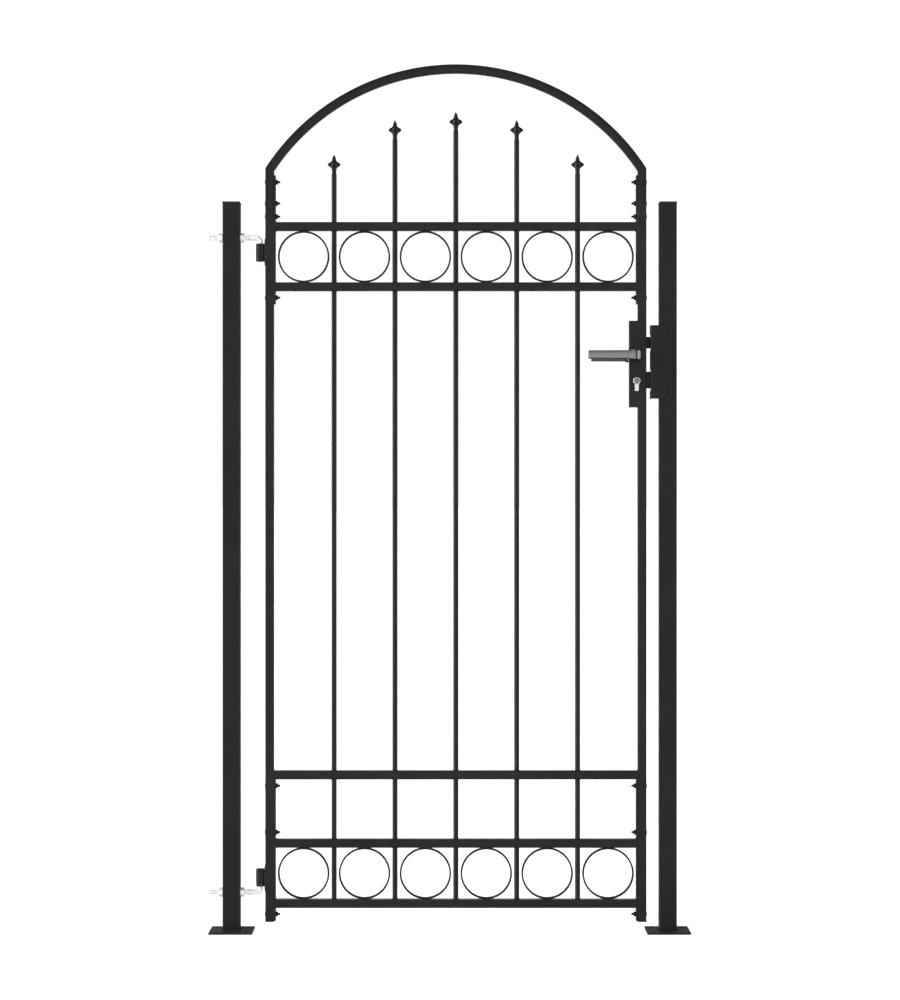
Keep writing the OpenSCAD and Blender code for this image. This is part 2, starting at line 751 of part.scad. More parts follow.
// The keep: a folded plate on the post's front face, with a leg that has two slots open at the back
module keep_bracket() {
    color(steel) difference() {
        union() {
            translate([keep_x, keep_y, keep_z]) cube([keep_out + keep_lap, keep_t, keep_h]);
            translate([keep_x, keep_y, keep_z]) cube([keep_t, keep_t + keep_leg, keep_h]);
        }
        keep_slot(latch_z, latch_h);
        keep_slot(dead_z, dead_h);
        for (z = keep_screw_zs)
            translate([keep_screw_x, keep_y - cut, z]) rotate([-90, 0, 0])
                cylinder(d = keep_screw_d + 2 * bolt_clear, h = keep_t + 2 * cut);
    }
}

module keep_slot(z, h) {
    translate([keep_x - cut, -tongue_t / 2 - keep_front_gap, z - h / 2 - keep_slot_gap])
        cube([keep_t + 2 * cut, post_w, h + 2 * keep_slot_gap]);
}

module keep_screws() {
    head_r = keep_screw_head_d / 2;
    dome_r = (head_r * head_r + keep_screw_head_h * keep_screw_head_h) / (2 * keep_screw_head_h);
    color(steel) for (z = keep_screw_zs)
        translate([keep_screw_x, keep_y, z]) rotate([-90, 0, 0]) {
            intersection() {
                translate([0, 0, dome_r - keep_screw_head_h]) sphere(r = dome_r, $fn = 96);
                translate([0, 0, -keep_screw_head_h]) cylinder(r = head_r, h = keep_screw_head_h);
            }
            cylinder(d = keep_screw_d, h = keep_t + post_wall + 2 * keep_screw_d);
        }
}

hinge_post();
latch_post();
base_plate(post_x[0]);  // hinge_post_base
base_plate(post_x[1]);  // latch_post_base
post_caps();
hinge_rod(upper_rod_z, -1);  // upper_hinge_rod
hinge_rod(lower_rod_z, 1);  // lower_hinge_rod
hinge_nuts();
lower_hinge_collar();
keep_bracket();
keep_screws();
arch();
left_stile();
right_stile_upper();
right_stile_lower();
stile_plugs();
flat_bar(stile_in_x0, upper_flat_bar_z, upper_flat_bar_top);  // upper_left_flat_bar
flat_bar(stile_in_x0, leaf_bottom, middle_rail_z);  // lower_left_flat_bar
flat_bar(field_x1, upper_flat_bar_z, upper_flat_bar_top);  // upper_right_flat_bar
flat_bar(field_x1, leaf_bottom, middle_rail_z);  // lower_right_flat_bar
rail(bottom_rail_z, field_x0, field_x1, false);  // bottom_rail
rail(lower_ring_rail_z, field_x0, field_x1, true);  // lower_ring_rail
rail(middle_rail_z, stile_in_x0, stile_in_x1, true);  // middle_rail
rail(upper_ring_rail_z, field_x0, field_x1, true);  // upper_ring_rail
rail(top_rail_z, field_x0, field_x1, true);  // top_rail
upright_bar(0);  // bar_1
upright_bar(1);  // bar_2
upright_bar(2);  // bar_3
upright_bar(3);  // bar_4
upright_bar(4);  // bar_5
spear_heads();
ring_row(upper_ring_rail_z + tube_w);  // upper_rings
ring_row(bottom_rail_z + tube_w);  // lower_rings
stile_bolts();
stile_nuts();
upper_hinge_barrel();
lower_hinge_barrel();
hinge_plates();
lock_case();
key_cylinder();
lever(-1, lever_len);  // front_lever
lever(1, rear_lever_len);  // rear_lever
spindle();
latch_bolt();
dead_bolt();
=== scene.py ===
import json
import math

import bmesh
import bpy
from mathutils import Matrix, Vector, noise


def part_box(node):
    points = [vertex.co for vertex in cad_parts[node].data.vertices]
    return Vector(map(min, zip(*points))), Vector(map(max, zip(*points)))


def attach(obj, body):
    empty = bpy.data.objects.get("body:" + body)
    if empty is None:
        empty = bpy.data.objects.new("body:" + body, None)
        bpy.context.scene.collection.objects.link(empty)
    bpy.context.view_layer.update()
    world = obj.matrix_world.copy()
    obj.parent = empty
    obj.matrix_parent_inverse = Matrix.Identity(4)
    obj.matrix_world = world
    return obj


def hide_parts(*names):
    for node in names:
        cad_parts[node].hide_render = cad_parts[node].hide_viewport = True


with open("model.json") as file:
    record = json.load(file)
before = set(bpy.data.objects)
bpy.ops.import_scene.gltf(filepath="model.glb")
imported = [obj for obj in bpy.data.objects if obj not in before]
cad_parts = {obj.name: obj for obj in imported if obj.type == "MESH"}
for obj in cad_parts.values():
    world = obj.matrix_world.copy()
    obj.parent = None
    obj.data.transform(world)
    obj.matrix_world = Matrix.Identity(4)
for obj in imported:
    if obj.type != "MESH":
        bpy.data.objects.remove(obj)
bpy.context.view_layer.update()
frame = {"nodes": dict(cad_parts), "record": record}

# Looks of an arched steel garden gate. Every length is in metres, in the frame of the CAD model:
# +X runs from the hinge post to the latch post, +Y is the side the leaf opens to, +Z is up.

NEAR = 1e-6


def low(name):
    """Lowest corner of a CAD node."""
    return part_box(name)[0]


def high(name):
    """Highest corner of a CAD node."""
    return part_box(name)[1]


def middle(name):
    """Centre of a CAD node's box."""
    return (low(name) + high(name)) / 2


def islands(name):
    """The boxes (lowest corner, highest corner) of the separate solids in a CAD node."""
    work = bmesh.new()
    work.from_mesh(frame["nodes"][name].data)
    bmesh.ops.remove_doubles(work, verts=work.verts, dist=NEAR)
    left = set(work.verts)
    boxes = []
    while left:
        front = [left.pop()]
        found = list(front)
        while front:
            vert = front.pop()
            near = {e.other_vert(vert) for e in vert.link_edges} & left
            left -= near
            front += near
            found += near
        corners = [[pick(v.co[a] for v in found) for a in range(3)] for pick in (min, max)]
        boxes.append(tuple(Vector(c) for c in corners))
    work.free()
    return sorted(boxes, key=lambda box: tuple(box[0]))


# ---- sizes read from the frame

MM = 0.001
HALF_PI = math.pi / 2
TURN = 2 * math.pi
X, Y, Z = Vector((1, 0, 0)), Vector((0, 1, 0)), Vector((0, 0, 1))

gate_x = (middle("hinge_post").x + middle("latch_post").x) / 2
post_half = (high("hinge_post").x - low("hinge_post").x) / 2
leaf_x0, leaf_x1 = low("arch").x, high("arch").x
tube_half = (high("left_stile").x - low("left_stile").x) / 2
bars = [f"bar_{i}" for i in range(1, 6)]
bar_r = (high("bar_1").x - low("bar_1").x) / 2
rails = ["bottom_rail", "lower_ring_rail", "middle_rail", "upper_ring_rail", "top_rail"]
flat_bars = [f"{height}_{side}_flat_bar" for side in ("left", "right") for height in ("upper", "lower")]
field_x0, field_x1 = high("upper_left_flat_bar").x, low("upper_right_flat_bar").x
axis_x = middle("upper_hinge_barrel").x
barrel_r = axis_x - low("upper_hinge_barrel").x
rod_r = (high("upper_hinge_rod").y - low("upper_hinge_rod").y) / 2
lock_x = middle("spindle").x
lever_z = middle("spindle").z
ground_z = low("hinge_post_base").z

# ---- camera

CAMERA_DISTANCE = 6.0
CAMERA_X = 0.505
CAMERA_HEIGHT = 0.998
VIEW_HEIGHT = 2.314
SENSOR = 36


def add_camera():
    """A level camera straight in front of the gate, about as far as the photographer stood."""
    data = bpy.data.cameras.new("camera")
    data.sensor_width = SENSOR
    data.lens = SENSOR * CAMERA_DISTANCE / VIEW_HEIGHT
    camera = bpy.data.objects.new("camera", data)
    camera.location = (CAMERA_X, -CAMERA_DISTANCE, CAMERA_HEIGHT)
    camera.rotation_euler = (HALF_PI, 0, 0)
    bpy.context.scene.collection.objects.link(camera)
    bpy.context.scene.camera = camera


# ---- floor and light

FLOOR_SIZE = 600
FLOOR_GREY = (0.80, 0.80, 0.80, 1)
FLOOR_GLOW = 0.65
WHITE = (1, 1, 1, 1)
STUDIO_WHITE = 1.1
# The light dome: its strength in front and at the sides, and what the strip lights add at the sides
DOME_FRONT = 0.20
DOME_SIDES = 1.6
STRIPS = 7.8
# The left strip is stronger by this share, and the right one weaker
STRIP_LEAN = 0.62
# How much of all that is left high up and low down, and at the back
OFF_LEVEL_SHARE = 0.55
BACK_SHARE = 0.20
# What the windows right in front of the gate and right behind it add
FRONT_WINDOW = 2.12
BACK_WINDOW = 1.2
SUN_STRENGTH = 0.9
SUN_ANGLE = math.radians(60)
SUN_TURN = (math.radians(12), math.radians(-15), 0)


def moved(tree, value, ranges, interpolation="LINEAR"):
    """A node's value, moved from the range of the first two numbers to that of the last two."""
    made = tree.nodes.new("ShaderNodeMapRange")
    made.interpolation_type = interpolation
    for key, number in zip(("From Min", "From Max", "To Min", "To Max"), ranges):
        made.inputs[key].default_value = number
    tree.links.new(value, made.inputs["Value"])
    return made.outputs["Result"]


def combined(tree, operation, *sources):
    """The result of arithmetic on other nodes' values."""
    made = tree.nodes.new("ShaderNodeMath")
    made.operation = operation
    for socket, source in zip(made.inputs, sources):
        tree.links.new(source, socket)
    return made.outputs["Value"]


def split(tree, vector):
    """The X, Y and Z of a node's vector."""
    made = tree.nodes.new("ShaderNodeSeparateXYZ")
    tree.links.new(vector, made.inputs["Vector"])
    return made.outputs


def add_floor():
    """A pale floor that glows a little, so that its shadows are faint. Glossy things don't mirror it."""
    half = FLOOR_SIZE / 2
    mesh = bpy.data.meshes.new("floor")
    corners = [(-half, -half, 0), (half, -half, 0), (half, half, 0), (-half, half, 0)]
    mesh.from_pydata(corners, [], [(0, 1, 2, 3)])
    floor = bpy.data.objects.new("floor", mesh)
    floor.location.z = ground_z
    floor.visible_glossy = False
    bpy.context.scene.collection.objects.link(floor)
    material = bpy.data.materials.new("floor_paint")
    material.use_nodes = True
    shader = material.node_tree.nodes["Principled BSDF"]
    shader.inputs["Base Color"].default_value = FLOOR_GREY
    shader.inputs["Roughness"].default_value = 0.9
    shader.inputs["Specular IOR Level"].default_value = 0.1
    shader.inputs["Emission Color"].default_value = WHITE
    shader.inputs["Emission Strength"].default_value = FLOOR_GLOW
    mesh.materials.append(material)


def add_world():
    """A white backdrop, and a dome with strip lights at its sides and windows in front and behind."""
    world = bpy.data.worlds.new("studio")
    bpy.context.scene.world = world
    world.use_nodes = True
    tree = world.node_tree

    def ramp(source, *ranges):
        """A value that eases from one level to another while source crosses a range."""
        return moved(tree, source, ranges, "SMOOTHSTEP")

    def add(*sources):
        return combined(tree, "ADD", *sources)

    def multiply(*sources):
        return combined(tree, "MULTIPLY", *sources)

    right, back, up = split(tree, tree.nodes.new("ShaderNodeTexCoord").outputs["Generated"])
    aside = combined(tree, "ABSOLUTE", right)
    off_level = combined(tree, "ABSOLUTE", up)

    strips = multiply(ramp(aside, 0.76, 0.82, 0, STRIPS), ramp(aside, 0.90, 0.95, 1, 0))
    lean = ramp(right, -0.9, 0.9, 1 + STRIP_LEAN, 1 - STRIP_LEAN)
    dome = add(ramp(aside, 0.5, 0.9, DOME_FRONT, DOME_SIDES), multiply(strips, lean))
    dome = multiply(dome, ramp(off_level, 0.05, 0.5, 1, OFF_LEVEL_SHARE))
    dome = multiply(dome, ramp(back, -0.2, 0.9, 1, BACK_SHARE))
    dome = add(dome, ramp(back, -0.995, -0.95, FRONT_WINDOW, 0))
    dome = add(dome, ramp(back, 0.96, 0.985, 0, BACK_WINDOW))

    backdrop = tree.nodes.new("ShaderNodeMix")
    tree.links.new(tree.nodes.new("ShaderNodeLightPath").outputs["Is Camera Ray"], backdrop.inputs[0])
    tree.links.new(dome, backdrop.inputs[2])
    backdrop.inputs[3].default_value = STUDIO_WHITE
    background = tree.nodes["Background"]
    background.inputs["Color"].default_value = WHITE
    tree.links.new(backdrop.outputs[0], background.inputs["Strength"])


def add_overhead_light():
    """One broad soft light from above."""
    data = bpy.data.lights.new("overhead_light", "SUN")
    data.energy = SUN_STRENGTH
    data.angle = SUN_ANGLE
    lamp = bpy.data.objects.new("overhead_light", data)
    lamp.rotation_euler = SUN_TURN
    bpy.context.scene.collection.objects.link(lamp)


# ---- materials

# Dust colour, which also lightens upward faces as painted light from above
DUST_AND_TOP_LIGHT = (0.085, 0.082, 0.078)


class Paint:
    """One material, with short calls that add and link its nodes."""

    def __init__(self, name):
        self.material = bpy.data.materials.new(name)
        self.material.use_nodes = True
        self.tree = self.material.node_tree
        self.shader = self.tree.nodes["Principled BSDF"]
        self.place = self.add("ShaderNodeTexCoord").outputs["Object"]

    def add(self, kind):
        return self.tree.nodes.new(kind)

    def link(self, source, target):
        self.tree.links.new(source, target)

    def stretched(self, scale):
        """The object's coordinates, scaled by a different amount along each axis."""
        mapping = self.add("ShaderNodeMapping")
        mapping.inputs["Scale"].default_value = scale
        self.link(self.place, mapping.inputs["Vector"])
        return mapping.outputs["Vector"]

    def noise(self, scale, detail=2.0, roughness=0.5, place=None):
        made = self.add("ShaderNodeTexNoise")
        made.inputs["Scale"].default_value = scale
        made.inputs["Detail"].default_value = detail
        made.inputs["Roughness"].default_value = roughness
        self.link(place or self.place, made.inputs["Vector"])
        return made.outputs["Fac"]

    def spread(self, value, *ranges):
        """A value moved from one range to another."""
        return moved(self.tree, value, ranges)

    def mix(self, factor, first, second):
        """A colour between two, each a colour or another node's output."""
        made = self.add("ShaderNodeMix")
        made.data_type = "RGBA"
        self.link(factor, made.inputs["Factor"])
        for socket, colour in ((made.inputs[6], first), (made.inputs[7], second)):
            if isinstance(colour, tuple):
                socket.default_value = (*colour, 1)
            else:
                self.link(colour, socket)
        return made.outputs[2]

    def bump(self, height, depth, below=None):
        made = self.add("ShaderNodeBump")
        made.inputs["Distance"].default_value = depth
        self.link(height, made.inputs["Height"])
        if below:
            self.link(below, made.inputs["Normal"])
        return made.outputs["Normal"]

    def set(self, name, value):
        """Sets a socket of the shader to a number, or links it to a node's output."""
        socket = self.shader.inputs[name]
        if isinstance(value, (int, float)):
            socket.default_value = value
        else:
            self.link(value, socket)


def powder_coat(name, dark, light, smoothest, roughest):
    """Powder coat: fine orange peel, a slow drift of tone and roughness, and dust and painted top light
    on what faces up.
    """
    paint = Paint(name)
    drift = paint.spread(paint.noise(7, 3), 0.35, 0.65, 0, 1)
    tone = paint.mix(drift, dark, light)
    grain = paint.spread(paint.noise(2600, 1), 0.45, 0.75, 0, 0.3)
    tone = paint.mix(grain, tone, tuple(2 * c for c in light))
    # Upward faces are lightened in patches: partly dust, partly painted light from above
    facing = split(paint.tree, paint.add("ShaderNodeNewGeometry").outputs["Normal"])
    upward = paint.spread(facing["Z"], 0.75, 1.0, 0, 1)
    patches = paint.spread(paint.noise(60, 5, 0.65), 0.38, 0.7, 0.08, 0.38)
    dust_and_top_light = combined(paint.tree, "MULTIPLY", upward, patches)
    paint.set("Base Color", paint.mix(dust_and_top_light, tone, DUST_AND_TOP_LIGHT))
    paint.set("Roughness", paint.spread(paint.noise(35, 3), 0.3, 0.7, smoothest, roughest))
    paint.set("Specular IOR Level", 0.15)
    peel = paint.bump(paint.noise(900, 2), 0.00003)
    paint.set("Normal", paint.bump(paint.noise(3200, 1), 0.00001, peel))
    return paint.material


def zinc_plate():
    """Bright zinc plating: pale metal with faint clouds, a fine grain and small dull spots."""
    paint = Paint("zinc_plate")
    clouds = paint.spread(paint.noise(90, 4, 0.6), 0.3, 0.7, 0, 1)
    tone = paint.mix(clouds, (0.93, 0.94, 0.95), (0.97, 0.97, 0.97))
    spots = paint.spread(paint.noise(700, 2, 0.7), 0.60, 0.78, 0, 0.25)
    tone = paint.mix(spots, tone, (0.62, 0.63, 0.63))
    paint.set("Base Color", tone)
    paint.set("Metallic", 0.26)
    paint.set("Roughness", paint.spread(paint.noise(240, 3), 0.3, 0.7, 0.26, 0.42))
    paint.set("Normal", paint.bump(paint.noise(1500, 3), 0.00001))
    return paint.material


def satin_aluminium():
    """Anodised aluminium, brushed along the lever."""
    paint = Paint("satin_aluminium")
    brushed = paint.noise(1, 4, 0.7, paint.stretched((40, 2600, 2600)))
    clouds = paint.noise(25, 2)
    tone = paint.mix(paint.spread(brushed, 0.3, 0.7, 0, 1), (0.144, 0.137, 0.144), (0.178, 0.170, 0.178))
    tone = paint.mix(paint.spread(clouds, 0.35, 0.75, 0, 0.5), tone, (0.187, 0.179, 0.187))
    paint.set("Base Color", tone)
    paint.set("Metallic", 1.0)
    paint.set("Roughness", paint.spread(brushed, 0.3, 0.7, 0.22, 0.32))
    paint.set("Normal", paint.bump(brushed, 0.00002))
    return paint.material


def nickel(name, dark, light):
    """Nickel plating between two tones, with fine turning marks and a little haze."""
    paint = Paint(name)
    haze = paint.noise(260, 4, 0.6)
    paint.set("Base Color", paint.mix(paint.spread(haze, 0.3, 0.7, 0, 1), dark, light))
    paint.set("Metallic", 1.0)
    paint.set("Roughness", paint.spread(haze, 0.3, 0.7, 0.18, 0.30))
    paint.set("Normal", paint.bump(paint.noise(1, 2, 0.5, paint.stretched((900, 200, 900))), 0.00002))
    return paint.material


def moulded_plastic():
    """Black polyethylene with a fine moulded grain."""
    paint = Paint("moulded_plastic")
    grain = paint.noise(1400, 3, 0.6)
    scuffs = paint.spread(paint.noise(120, 5, 0.7), 0.55, 0.75, 0, 0.4)
    tone = paint.mix(paint.spread(grain, 0.3, 0.7, 0, 1), (0.010, 0.010, 0.011), (0.017, 0.017, 0.018))
    paint.set("Base Color", paint.mix(scuffs, tone, (0.035, 0.035, 0.036)))
    paint.set("Roughness", paint.spread(grain, 0.3, 0.7, 0.5, 0.68))
    paint.set("Specular IOR Level", 0.3)
    paint.set("Normal", paint.bump(grain, 0.00005))
    return paint.material


post_coat = powder_coat("post_coat_paint", (0.0096, 0.0110, 0.0118), (0.0122, 0.0137, 0.0145), 0.48, 0.58)
leaf_coat = powder_coat("leaf_coat_paint", (0.0108, 0.0084, 0.0098), (0.0135, 0.0106, 0.0122), 0.28, 0.38)
# Darker nickel for the key plugs: painted shade on the cylinder's ends, not wear
painted_shade_nickel = nickel("painted_shade_nickel", (0.09, 0.086, 0.08), (0.19, 0.186, 0.18))

FINISHES = {
    "post_coat": post_coat,
    "leaf_coat": leaf_coat,
    "zinc_plate": zinc_plate(),
    "satin_lever": satin_aluminium(),
    "bright_cylinder": nickel("bright_nickel", (0.38, 0.375, 0.365), (0.48, 0.48, 0.48)),
    "black_plastic": moulded_plastic(),
}

slot_of = {row["node"]: row["material_slot"] for row in frame["record"]["subparts"]}
body_of = {
    name: body
    for body, names in frame["record"]["behaviour"]["bodies"].items()
    for name in names
}


# ---- making meshes

FLAT_ANGLE = math.radians(0.5)
SHARP_ANGLE = math.radians(30)


class Shape:
    """Gathers closed surfaces, which become the mesh of one piece."""

    def __init__(self):
        self.points = []
        self.faces = []

    def loft(self, rings, loop=False):
        """Skins a list of rings of points. Its two ends are closed, unless it runs round to its start."""
        start = len(self.points)
        count = len(rings[0])
        for ring in rings:
            self.points.extend(ring)
        spans = len(rings) if loop else len(rings) - 1
        for r in range(spans):
            here = start + r * count
            there = start + (r + 1) % len(rings) * count
            for i in range(count):
                j = (i + 1) % count
                self.faces.append((here + i, here + j, there + j, there + i))
        if not loop:
            self.faces.append(tuple(reversed(range(start, start + count))))
            self.faces.append(tuple(range(start + spans * count, start + (spans + 1) * count)))

    def mesh(self, name):
        made = bpy.data.meshes.new(name)
        made.from_pydata([tuple(p) for p in self.points], [], self.faces)
        work = bmesh.new()
        work.from_mesh(made)
        bmesh.ops.remove_doubles(work, verts=work.verts, dist=NEAR)
        bmesh.ops.recalc_face_normals(work, faces=work.faces)
        work.to_mesh(made)
        work.free()
        return made


def finish_piece(name, mesh, slot, body, replaced=(), crease=35):
    """Makes an object of a mesh, with its finish, its body and the CAD nodes it stands for."""
    mesh.polygons.foreach_set("use_smooth", [True] * len(mesh.polygons))
    mesh.set_sharp_from_angle(angle=math.radians(crease))
    mesh.materials.append(FINISHES[slot])
    piece = bpy.data.objects.new(name, mesh)
    bpy.context.scene.collection.objects.link(piece)
    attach(piece, body)
    if replaced:
        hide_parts(*replaced)
    return piece


def stand_in(name, shape, node, crease=35):
    """Finishes a shape as the piece that replaces a CAD node."""
    finish_piece(name, shape.mesh(name), slot_of[node], body_of[node], [node], crease)


def soft_copy(node, edge, segments=2, corner=0.0, rounded=None):
    """Copies a CAD node with its sharp edges rounded to the radius edge.

    corner is the radius of the edges that the function rounded(end, other_end) picks.
    """
    work = bmesh.new()
    work.from_mesh(frame["nodes"][node].data)
    bmesh.ops.remove_doubles(work, verts=work.verts, dist=NEAR)
    bmesh.ops.dissolve_limit(work, angle_limit=FLAT_ANGLE, verts=work.verts, edges=work.edges)
    if rounded:
        picked = [e for e in work.edges if rounded(e.verts[0].co, e.verts[1].co)]
        bmesh.ops.bevel(work, geom=picked, offset=corner, segments=4, profile=0.5, affect="EDGES")
    sharp = [e for e in work.edges if len(e.link_faces) == 2 and e.calc_face_angle(0) > SHARP_ANGLE]
    bmesh.ops.bevel(
        work, geom=sharp, offset=edge, segments=segments, profile=0.5, affect="EDGES", clamp_overlap=True
    )
    mesh = bpy.data.meshes.new(node)
    work.to_mesh(mesh)
    work.free()
    piece = finish_piece(f"{node}_soft", mesh, slot_of[node], body_of[node], [node])
    normals = piece.modifiers.new("even_shading", "WEIGHTED_NORMAL")
    normals.keep_sharp = True


def soft_tube(node, edge, corner, axis):
    """Copies a tube that runs along an axis, with its four long outer edges rounded to corner."""
    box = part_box(node)
    across = [a for a in range(3) if a != axis]

    def on_corner(point):
        return all(min(abs(point[a] - box[0][a]), abs(point[a] - box[1][a])) < NEAR for a in across)

    def rounded(end, other_end):
        return on_corner(end) and on_corner(other_end) and abs(end[axis] - other_end[axis]) > NEAR

    soft_copy(node, edge, 1, corner, rounded)


def smooth(share):
    """Eases from 0 to 1."""
    share = min(1.0, max(0.0, share))
    return share * share * (3 - 2 * share)


def mixed(a, b, share):
    """A number part of the way from a to b."""
    return a + (b - a) * share


def curve(points, at):
    """The radius at a height on a smooth curve through (height, radius) points."""
    last = len(points) - 1
    leg = min(sum(height <= at for height, radius in points[1:]), last - 1)

    def slope(i):
        before, after = points[max(i - 1, 0)], points[min(i + 1, last)]
        return (after[1] - before[1]) / (after[0] - before[0])

    start, end = points[leg], points[leg + 1]
    span = end[0] - start[0]
    share = (at - start[0]) / span
    swell = span * share * (1 - share) * ((1 - share) * slope(leg) - share * slope(leg + 1))
    return mixed(start[1], end[1], smooth(share)) + swell


def ring_round(centre, u, v, radius, count):
    """Points round centre in the plane of u and v; radius is a number or a function of the angle."""
    made = []
    for i in range(count):
        angle = TURN * i / count
        r = radius(angle) if callable(radius) else radius
        made.append(centre + u * (r * math.cos(angle)) + v * (r * math.sin(angle)))
    return made


def turned(shape, profile, base, axis=Z, side=X, count=48):
    """Turns a profile of (radius, height) about an axis through base; a radius may be a function."""
    other = axis.cross(side)
    rings = [ring_round(base + axis * height, side, other, radius, count) for radius, height in profile]
    shape.loft(rings)


def spin(shape, section, base, axis=Z, side=X, count=48):
    """Turns a closed section about an axis; section(angle) gives its (radius, height) points."""
    other = axis.cross(side)
    rings = []
    for i in range(count):
        angle = TURN * i / count
        out = side * math.cos(angle) + other * math.sin(angle)
        rings.append([base + out * r + axis * h for r, h in section(angle)])
    shape.loft(rings, loop=True)


def arc(centre, radius, start, end, steps):
    """Points (a, b) on an arc, angles in degrees."""
    made = []
    for i in range(steps + 1):
        angle = math.radians(start + (end - start) * i / steps)
        made.append((centre[0] + radius * math.cos(angle), centre[1] + radius * math.sin(angle)))
    return made


def rounded_outline(half_a, half_b, corner, steps=4):
    """A closed rectangle outline with round corners, centred on the origin."""
    made = []
    for sign_a, sign_b, start in ((1, 1, 0), (-1, 1, 90), (-1, -1, 180), (1, -1, 270)):
        centre = (sign_a * (half_a - corner), sign_b * (half_b - corner))
        made += arc(centre, corner, start, start + 90, steps)
    return made


def polygon_radius(across, sides):
    """A polygon's radius as a function of the angle from a corner, by its width across flats."""
    step = TURN / sides
    return lambda angle: across / 2 / math.cos(angle % step - step / 2)


# ---- threads and nuts

# Shares of a thread's pitch: its flat crest, its flat root and its depth
CREST = 0.12
ROOT = 0.20
THREAD_DEPTH = 0.58
RINGS_A_TURN = 6
NUT_FACE = 0.95
NUT_CHAMFER = math.radians(30)
NUT_LIP = 0.3 * MM


def thread_radius(major, pitch, along):
    """A screw thread's radius at a distance along it, as a function of the angle."""

    def radius(angle):
        phase = (along / pitch - angle / TURN) % 1
        flank = (abs(phase - 0.5) * 2 - ROOT) / (1 - ROOT - CREST)
        return major - THREAD_DEPTH * pitch * (1 - min(1, max(0, flank)))

    return radius


def thread_profile(major, pitch, start, end, chamfer):
    """Profile points (radius, height) of a thread that runs from start to a chamfered end."""
    made = []
    count = round(abs(end - start) / pitch * RINGS_A_TURN)
    for i in range(count + 1):
        height = start + (end - start) * i / count
        thread = thread_radius(major, pitch, height)
        limit = major - max(0.0, chamfer - abs(end - height))
        made.append((lambda angle, thread=thread, limit=limit: min(thread(angle), limit), height))
    return made


def hex_nut(shape, base, axis, across, height, bore):
    """A hexagon nut from base along axis, chamfered at both ends, with corners up and down."""
    hexagon = polygon_radius(across, 6)
    face_r = NUT_FACE * across / 2

    def section(angle):
        edge = hexagon(angle)
        drop = (edge - face_r) * math.tan(NUT_CHAMFER)
        return [
            (bore, NUT_LIP), (bore + NUT_LIP, 0), (face_r, 0), (edge, drop),
            (edge, height - drop), (face_r, height), (bore + NUT_LIP, height), (bore, height - NUT_LIP)
        ]

    spin(shape, section, base, axis, Z)


# ---- weld beads

BEAD_SIDES = 8
BEAD_STEP = 0.8 * MM
BEAD_STEPS_MIN = 6
BEAD_CREASE = 80
RIPPLE = 2.2 * MM
# Where a bead's wobbles are read in a field of noise: along it, by its seed, and at one level
WOBBLES_A_METRE = 260
SEED_STEP = 7.3
NOISE_LEVEL = 1.7
# A bead's thickness as shares of its radius: at its thinnest, what ripples add, what wobbles add
BEAD_PLAIN = 0.80
BEAD_RIPPLE = 0.16
BEAD_WOBBLE = 0.22
BEAD_END_MIN = 0.06
BEAD_ROUND_STEPS = 16
WELD_LIFT = 0.4 * MM


def points_along(path, closed):
    """Points at even steps along a path, each with its distance along it, and the path's length."""
    route = list(path) + ([path[0]] if closed else [])
    lengths = [0.0]
    for a, b in zip(route, route[1:]):
        lengths.append(lengths[-1] + (b - a).length)
    total = lengths[-1]
    count = max(BEAD_STEPS_MIN, round(total / BEAD_STEP))
    made = []
    leg = 0
    for i in range(count if closed else count + 1):
        at = total * i / count
        while leg < len(lengths) - 2 and lengths[leg + 1] < at:
            leg += 1
        share = (at - lengths[leg]) / max(lengths[leg + 1] - lengths[leg], NEAR)
        made.append((route[leg].lerp(route[leg + 1], share), at))
    return made, total


def bead(shape, path, radius, closed=False, seed=0.0):
    """A ripply weld bead along a path of points, blunt at both ends if it is open."""
    points, total = points_along(path, closed)
    rings = []
    size = len(points)
    for i, (centre, at) in enumerate(points):
        before = points[(i - 1) % size][0] if closed or i > 0 else centre
        after = points[(i + 1) % size][0] if closed or i < size - 1 else centre
        along = (after - before).normalized()
        u = along.orthogonal().normalized()
        wobble = noise.noise(Vector((at * WOBBLES_A_METRE, seed * SEED_STEP, NOISE_LEVEL)))
        ripple = abs(math.sin(math.pi * at / RIPPLE + seed))
        r = radius * (BEAD_PLAIN + BEAD_RIPPLE * ripple + BEAD_WOBBLE * wobble)
        if not closed:
            end = min(at, total - at) / radius
            r *= math.sqrt(max(BEAD_END_MIN, min(1.0, end * (2 - min(end, 1.0)))))
        rings.append(ring_round(centre, u, along.cross(u), r, BEAD_SIDES))
    shape.loft(untwisted(rings), loop=closed)


def nearest_shift(ring, last):
    """How far to turn a ring's numbering to bring it nearest to the last ring's."""
    count = len(ring)

    def distance(shift):
        return sum((ring[(shift + i) % count] - last[i]).length_squared for i in (0, 2))

    return min(range(count), key=distance)


def untwisted(rings):
    """Turns each ring's numbering so that neighbours don't twist."""
    made = [rings[0]]
    for ring in rings[1:]:
        shift = nearest_shift(ring, made[-1])
        made.append(ring[shift:] + ring[:shift])
    return made


def bead_across(shape, x, z, half_y, radius, seed):
    """A straight bead along Y at a place on the leaf."""
    foot = Vector((x, 0, z))
    bead(shape, [foot - Y * half_y, foot + Y * half_y], radius, seed=seed)


def bead_round(shape, x, z, ring_r, radius, seed):
    """A bead round an upright bar."""
    path = ring_round(Vector((x, 0, z)), X, Y, ring_r, BEAD_ROUND_STEPS)
    bead(shape, path, radius, closed=True, seed=seed)


def finish_welds(name, shape, body="leaf"):
    """Finishes beads as a piece of their own, coated like the body they are on."""
    slot = "post_coat" if body == "posts" else "leaf_coat"
    finish_piece(name, shape.mesh(name), slot, body, crease=BEAD_CREASE)


# ---- posts

POST_CORNER = 3 * MM
CORNER_STEPS = 3
PLATE_EDGE = 0.6 * MM
CAP_EDGE = 0.4 * MM
CUT_EDGE = 0.25 * MM
POST_WELD_R = 2.2 * MM


